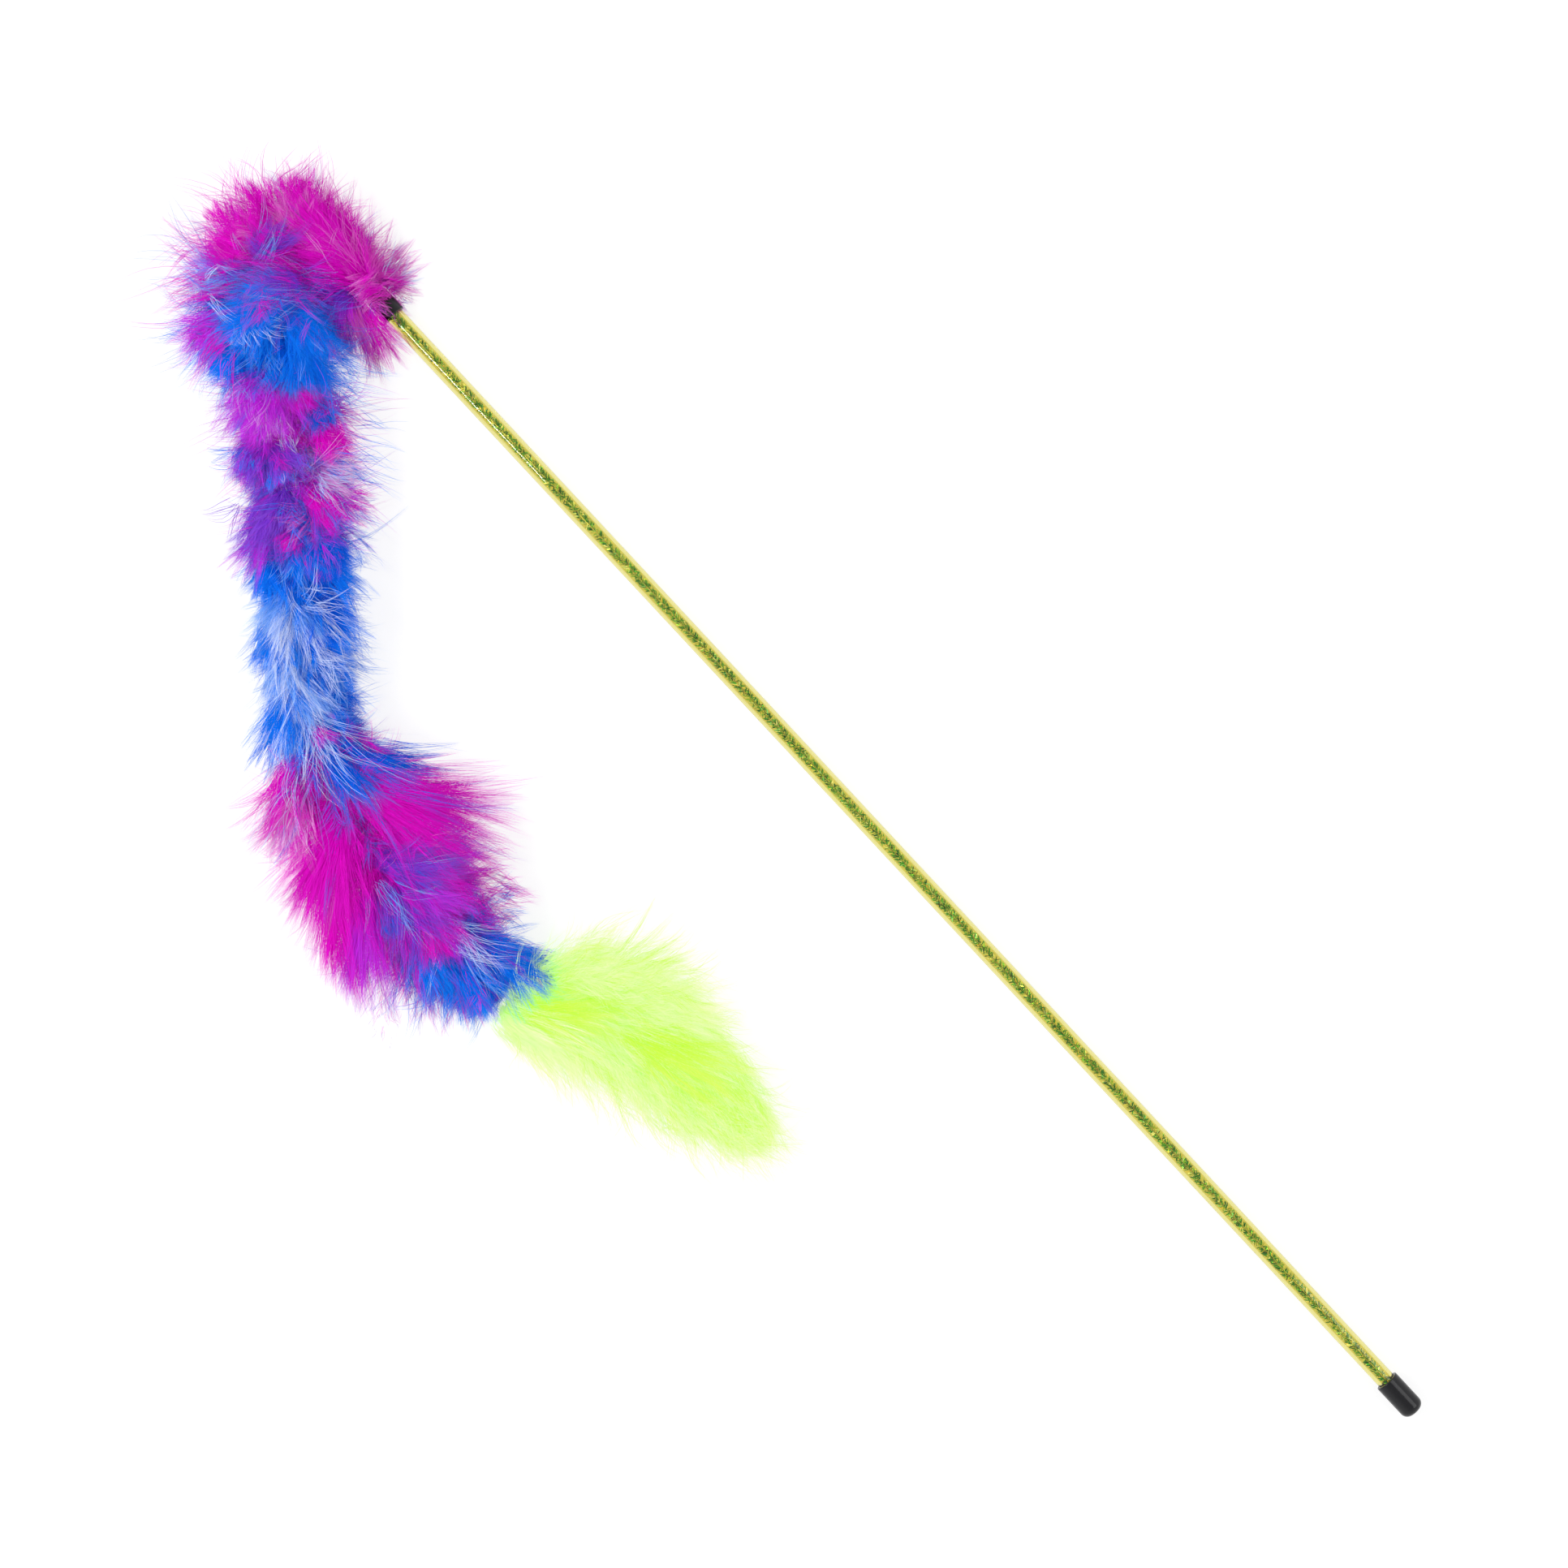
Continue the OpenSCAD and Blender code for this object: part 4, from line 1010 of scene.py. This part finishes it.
tailShape = dict(lift=0.03, roll=0.5, crowd=0.85, open=(46, 14), close=0.5, fluff=(0.02, 0.3), tipShare=0.45,
                 sway=0.5, lock=6, clump=0.72, thick=0.11)
tailWay = unit(routePoints[-1] - corners[6])


def tailPlace(s, across, tall):  # across from -1 to 1 between the outline's sides
    left, right = (np.interp(s, tailOutline[:, 0], tailOutline[:, k]) for k in (1, 2))
    middle, half = (left - right) / 2, (left + right) / 2
    base = corners[6] + tailWay * s[:, None]
    base[:, 2] -= np.minimum(s * tailPlan["sag"][0], tailPlan["sag"][1])
    height = tailPlan["high"] * np.interp(s, *tailPlan["heights"]) * np.sqrt(np.maximum(0.05, 1 - across ** 2))
    return base + rodSideOf(tailWay) * (middle + half * across)[:, None] + skyward * (tall * height)[:, None]


def tailDye(rng, across, middleShare, fall):  # deeper yellow-green in the middle, lighter at the sides
    return np.where(rng.random(len(across)) < middleShare - fall * np.abs(across),
                    dyeNames.index("neon"), dyeNames.index("lime"))


def tailPlumes(rng):
    n, p = tailPlan["plumes"], tailPlan
    across, tall = rng.uniform(-1, 1, n), rng.uniform(-1, 1, n)
    from0 = rng.random(n) ** 1.1 * p["lastRoot"]
    to = np.minimum(from0 + rng.uniform(*p["run"], n), rng.uniform(*p["lastTip"], n))
    root = tailPlace(from0, across * p["rootShare"][0], tall * p["rootShare"][1])
    end = tailPlace(to, across * rng.uniform(*p["tipShare"], n), tall * p["flat"])
    sweep = np.repeat(tailWay[None], n, 0)
    out = unit(rodSideOf(sweep) * across[:, None] * 0.35 + skyward * (0.7 + 0.3 * tall)[:, None])
    width = rng.uniform(*p["width"], n) * np.interp(to, *p["widths"])
    tone = tailDye(rng, across, *p["neonShare"][0])
    return growPlumes(rng, root, sweep, out, end, width, p["barbs"], tone, tailShape)


def tailLoose(rng, count, each, length, thick, edge, rings):
    n = count // each
    s, across = rng.uniform(0, tailPlan["looseEnd"], n), rng.uniform(-1, 1, n) * edge
    tall = rng.uniform(-0.9, 0.9, n)
    root = tailPlace(s, across, tall)
    way = unit(tailPlace(s + 8, across * 1.25, tall * 1.1) - root + rng.normal(0, 2.6, (n, 3)))
    tone = tailDye(rng, across, *tailPlan["neonShare"][1])
    return lockStrands(rng, root, way, rng.uniform(*length, n), rng.normal(0, 1.0, n), tone,
                       np.repeat(skyward[None], n, 0), each, rings, dict(wave=tailPlan["looseWave"], thick=thick))


def makeTail():
    rng = np.random.default_rng(tailPlan["seed"])
    plumes = tailPlumes(rng)
    material = featherMaterial("neonMarabou", tailPlan["glow"], tailPlan["contrast"])
    tail = ribbonMesh("neonFeathers", [plumes], material)
    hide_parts("neon_plume")
    joinPieces(tail, "neon")
    groups = [tailLoose(rng, *strands) for strands in tailPlan["loose"]]
    down = ribbonMesh("neonDown", groups + [drawTuft(rng, tuft) for tuft in tufts["neon"]], material)
    joinPieces(down, "neon")


makeTail()
print("feathers grown")


def turned(name, profile, segments, material):  # a shape turned around the rod's axis from (x, radius) pairs
    rows = len(profile)
    angles = 2 * math.pi * np.arange(segments) / segments
    verts = [(x * mm, r * math.cos(a) * mm, r * math.sin(a) * mm) for x, r in profile for a in angles]
    faces = [(row * segments + k, row * segments + (k + 1) % segments,
              (row + 1) % rows * segments + (k + 1) % segments, (row + 1) % rows * segments + k)
             for row in range(rows) for k in range(segments)]
    mesh = bpy.data.meshes.new(name)
    mesh.from_pydata(verts, [], faces)
    mesh.polygons.foreach_set("use_smooth", [True] * len(faces))
    mesh.materials.append(material)
    piece = bpy.data.objects.new(name, mesh)
    bpy.context.collection.objects.link(piece)
    return piece


tube = dict(outer=3.175, bore=1.975, segments=128, edge=0.18,
            stain=(0.76, 0.70, 0.24, 1), shadow=(0.90, 0.86, 0.5, 1))


def tubeMaterial():
    material, net = newMaterial("clearYellow")
    rays = net.add("ShaderNodeLightPath", {}, {})
    haze = net.noise(90.0, 2.0)
    clear = net.add("ShaderNodeBsdfPrincipled", {}, {
        "Base Color": tube["stain"], "Roughness": haze * 0.03 + 0.01, "IOR": 1.47, "Transmission Weight": 1.0,
        "Normal": net.bump(net.noise(60.0, 1.0), 0.0004, 0.05)})
    thin = net.add("ShaderNodeBsdfTransparent", {}, {"Color": tube["shadow"]})
    net.surface(net.add("ShaderNodeMixShader", {}, {0: rays.out("Is Shadow Ray"), 1: clear, 2: thin}))
    return material


def makeTube():
    low, high = (np.array(corner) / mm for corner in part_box("rod_tube"))
    x0, x1, r, b, e = low[0], high[0], tube["outer"], tube["bore"], tube["edge"]
    profile = [(x0 + e, r), (x0 + 3 * e, r), (x1 - 3 * e, r), (x1 - e, r), (x1 - 0.3 * e, r - 0.3 * e), (x1, r - e),
               (x1, b + e), (x1 - e, b), (x1 - 3 * e, b), (x0 + 3 * e, b), (x0 + e, b), (x0, b + e), (x0, r - e),
               (x0 + 0.3 * e, r - 0.3 * e)]
    piece = turned("clearTube", profile, tube["segments"], tubeMaterial())
    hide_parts("rod_tube")
    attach(piece, "wand")


makeTube()

# The foil's tints run from dark to bright greens, partly the foil's own colour and partly painted reflection, and end
# with white, gold and cyan that are painted glints.
foil = dict(seed=31, strips=6800, width=(0.20, 0.42), reach=(1.6, 1.93), lean=(0.2, 1.3),
            tintsAndGlints=[(0.08, 0.52, 0.16), (0.01, 0.17, 0.06), (0.22, 0.72, 0.22), (0.03, 0.33, 0.11), (0.60, 0.80, 0.20),
                   (0.97, 0.99, 0.94), (0.98, 0.66, 0.16), (0.30, 0.90, 0.75)],
            shares=[0.26, 0.20, 0.19, 0.14, 0.10, 0.06, 0.03, 0.02],
            glintGlow=0.55, firstGlint=5, greenGlow=0.12, core=0.25, inset=0.98, sweep=0.5)


def foilMaterial():
    material, net = newMaterial("greenFoil")
    along, row = net.uv()
    tintsAndGlints = foil["tintsAndGlints"]
    tintAndGlint = net.palette(tintsAndGlints, row)
    # Painted glints: the white, gold and cyan tints glow at their full colour, and the greens glow faintly at a small
    # share of theirs.
    paintedGlint = net.palette([colour if k >= foil["firstGlint"] else tuple(part * foil["greenGlow"] for part in colour)
                         for k, colour in enumerate(tintsAndGlints)], row)
    net.surface(net.add("ShaderNodeBsdfPrincipled", {}, {
        "Base Color": tintAndGlint, "Emission Color": paintedGlint, "Emission Strength": foil["glintGlow"],
        "Metallic": 0.85, "Roughness": (row * 57.0).fract() * 0.15 + 0.16,
        "Normal": net.bump(net.noise(1800.0, 1.0), 0.0002, 0.3)}))
    return material


def makeFoil():
    rng = np.random.default_rng(foil["seed"])
    low, high = (np.array(corner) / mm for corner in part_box("tinsel_foil"))
    n = foil["strips"]
    x = np.sort(rng.uniform(low[0] + 1, high[0] - 2.5, n))
    out = aroundRod(rng.choice([0.0, math.pi], n) + rng.normal(0, 0.9, n))
    reach = rng.uniform(*foil["reach"], n) * foil["inset"]
    lean = rng.uniform(*foil["lean"], n) * rng.choice([1.0, -1.0], n, p=[0.8, 0.2])
    root = forth * x[:, None] + out * foil["core"]
    points = np.stack([root + (out * (reach - foil["core"])[:, None] + forth * lean[:, None]) * f
                       + forth * (lean * foil["sweep"] * f * f)[:, None] for f in (0.0, 0.4, 0.75, 1.0)], 1)
    points[:, :, 0] = np.clip(points[:, :, 0], low[0], high[0])
    normal = unit(rng.normal(0, 1, (n, 1, 3)) + rng.normal(0, 0.25, (n, 4, 3)))
    row = (rng.choice(len(foil["tintsAndGlints"]), n, p=foil["shares"]) + rng.uniform(0.1, 0.9, n)) / len(foil["tintsAndGlints"])
    piece = ribbonMesh("foilStrips", [dict(points=points, normal=normal, row=row,
                                           thick=rng.uniform(*foil["width"], n))], foilMaterial(), feathers=False)
    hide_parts("tinsel_foil")
    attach(piece, "wand")


makeFoil()


def vinyl():
    material, net = newMaterial("blackVinyl")
    grain = net.noise(900.0, 4.0)
    shade = net.scale((0.010, 0.010, 0.012), grain * 0.6 + 0.7)
    net.surface(net.add("ShaderNodeBsdfPrincipled", {}, {
        "Base Color": shade, "Roughness": net.noise(220.0) * 0.08 + 0.13, "IOR": 1.5, "Specular IOR Level": 0.34,
        "Normal": net.bump(grain, 0.00015, 0.12)}))
    return material


def fibre(name, colour, scale, shine):
    material, net = newMaterial(name)
    strands = net.add("ShaderNodeTexWave", {"wave_type": "BANDS", "bands_direction": "DIAGONAL"}, {
        "Vector": net.add("ShaderNodeTexCoord", {}, {}).out("Object"), "Scale": scale, "Distortion": 2.0,
        "Detail": 2.0})
    shade = net.scale(colour, strands * 0.5 + 0.6)
    net.surface(net.add("ShaderNodeBsdfPrincipled", {}, {
        "Base Color": shade, "Roughness": 0.75 - strands * shine, "Normal": net.bump(strands, 0.0003, 0.5)}))
    return material


def steel():
    material, net = newMaterial("wireSteel")
    wear = net.noise(700.0)
    net.surface(net.add("ShaderNodeBsdfPrincipled", {}, {
        "Base Color": net.mix(wear, (0.72, 0.72, 0.70, 1), (0.86, 0.85, 0.80, 1)), "Metallic": 1.0,
        "Roughness": wear * 0.2 + 0.2}))
    return material


def finish(material, *names):
    for name in names:
        data = frame["nodes"][name].data
        if data.materials:
            for k in range(len(data.materials)):
                data.materials[k] = material
        else:
            data.materials.append(material)


finish(vinyl(), "handle_cap", "tip_cap")
finish(steel(), "tinsel_wire")
finish(fibre("blackCord", (0.016, 0.014, 0.018), 900.0, 0.1), "cord_knot", "cord_leader")
for name in sections[:-1]:
    shade = dyes["blue" if name in ("blue", "sky") else "magenta"][0]
    finish(fibre(name + "Cord", shade, 900.0, 0.1), name + "_cord", name + "_whipping")
finish(fibre("neonThread", dyes["neon"][0], 900.0, 0.1), "neon_whipping")
finish(fibre("quillHorn", (0.80, 0.90, 0.45), 300.0, 0.3), "neon_quills")
print("rod, tinsel and bindings finished")
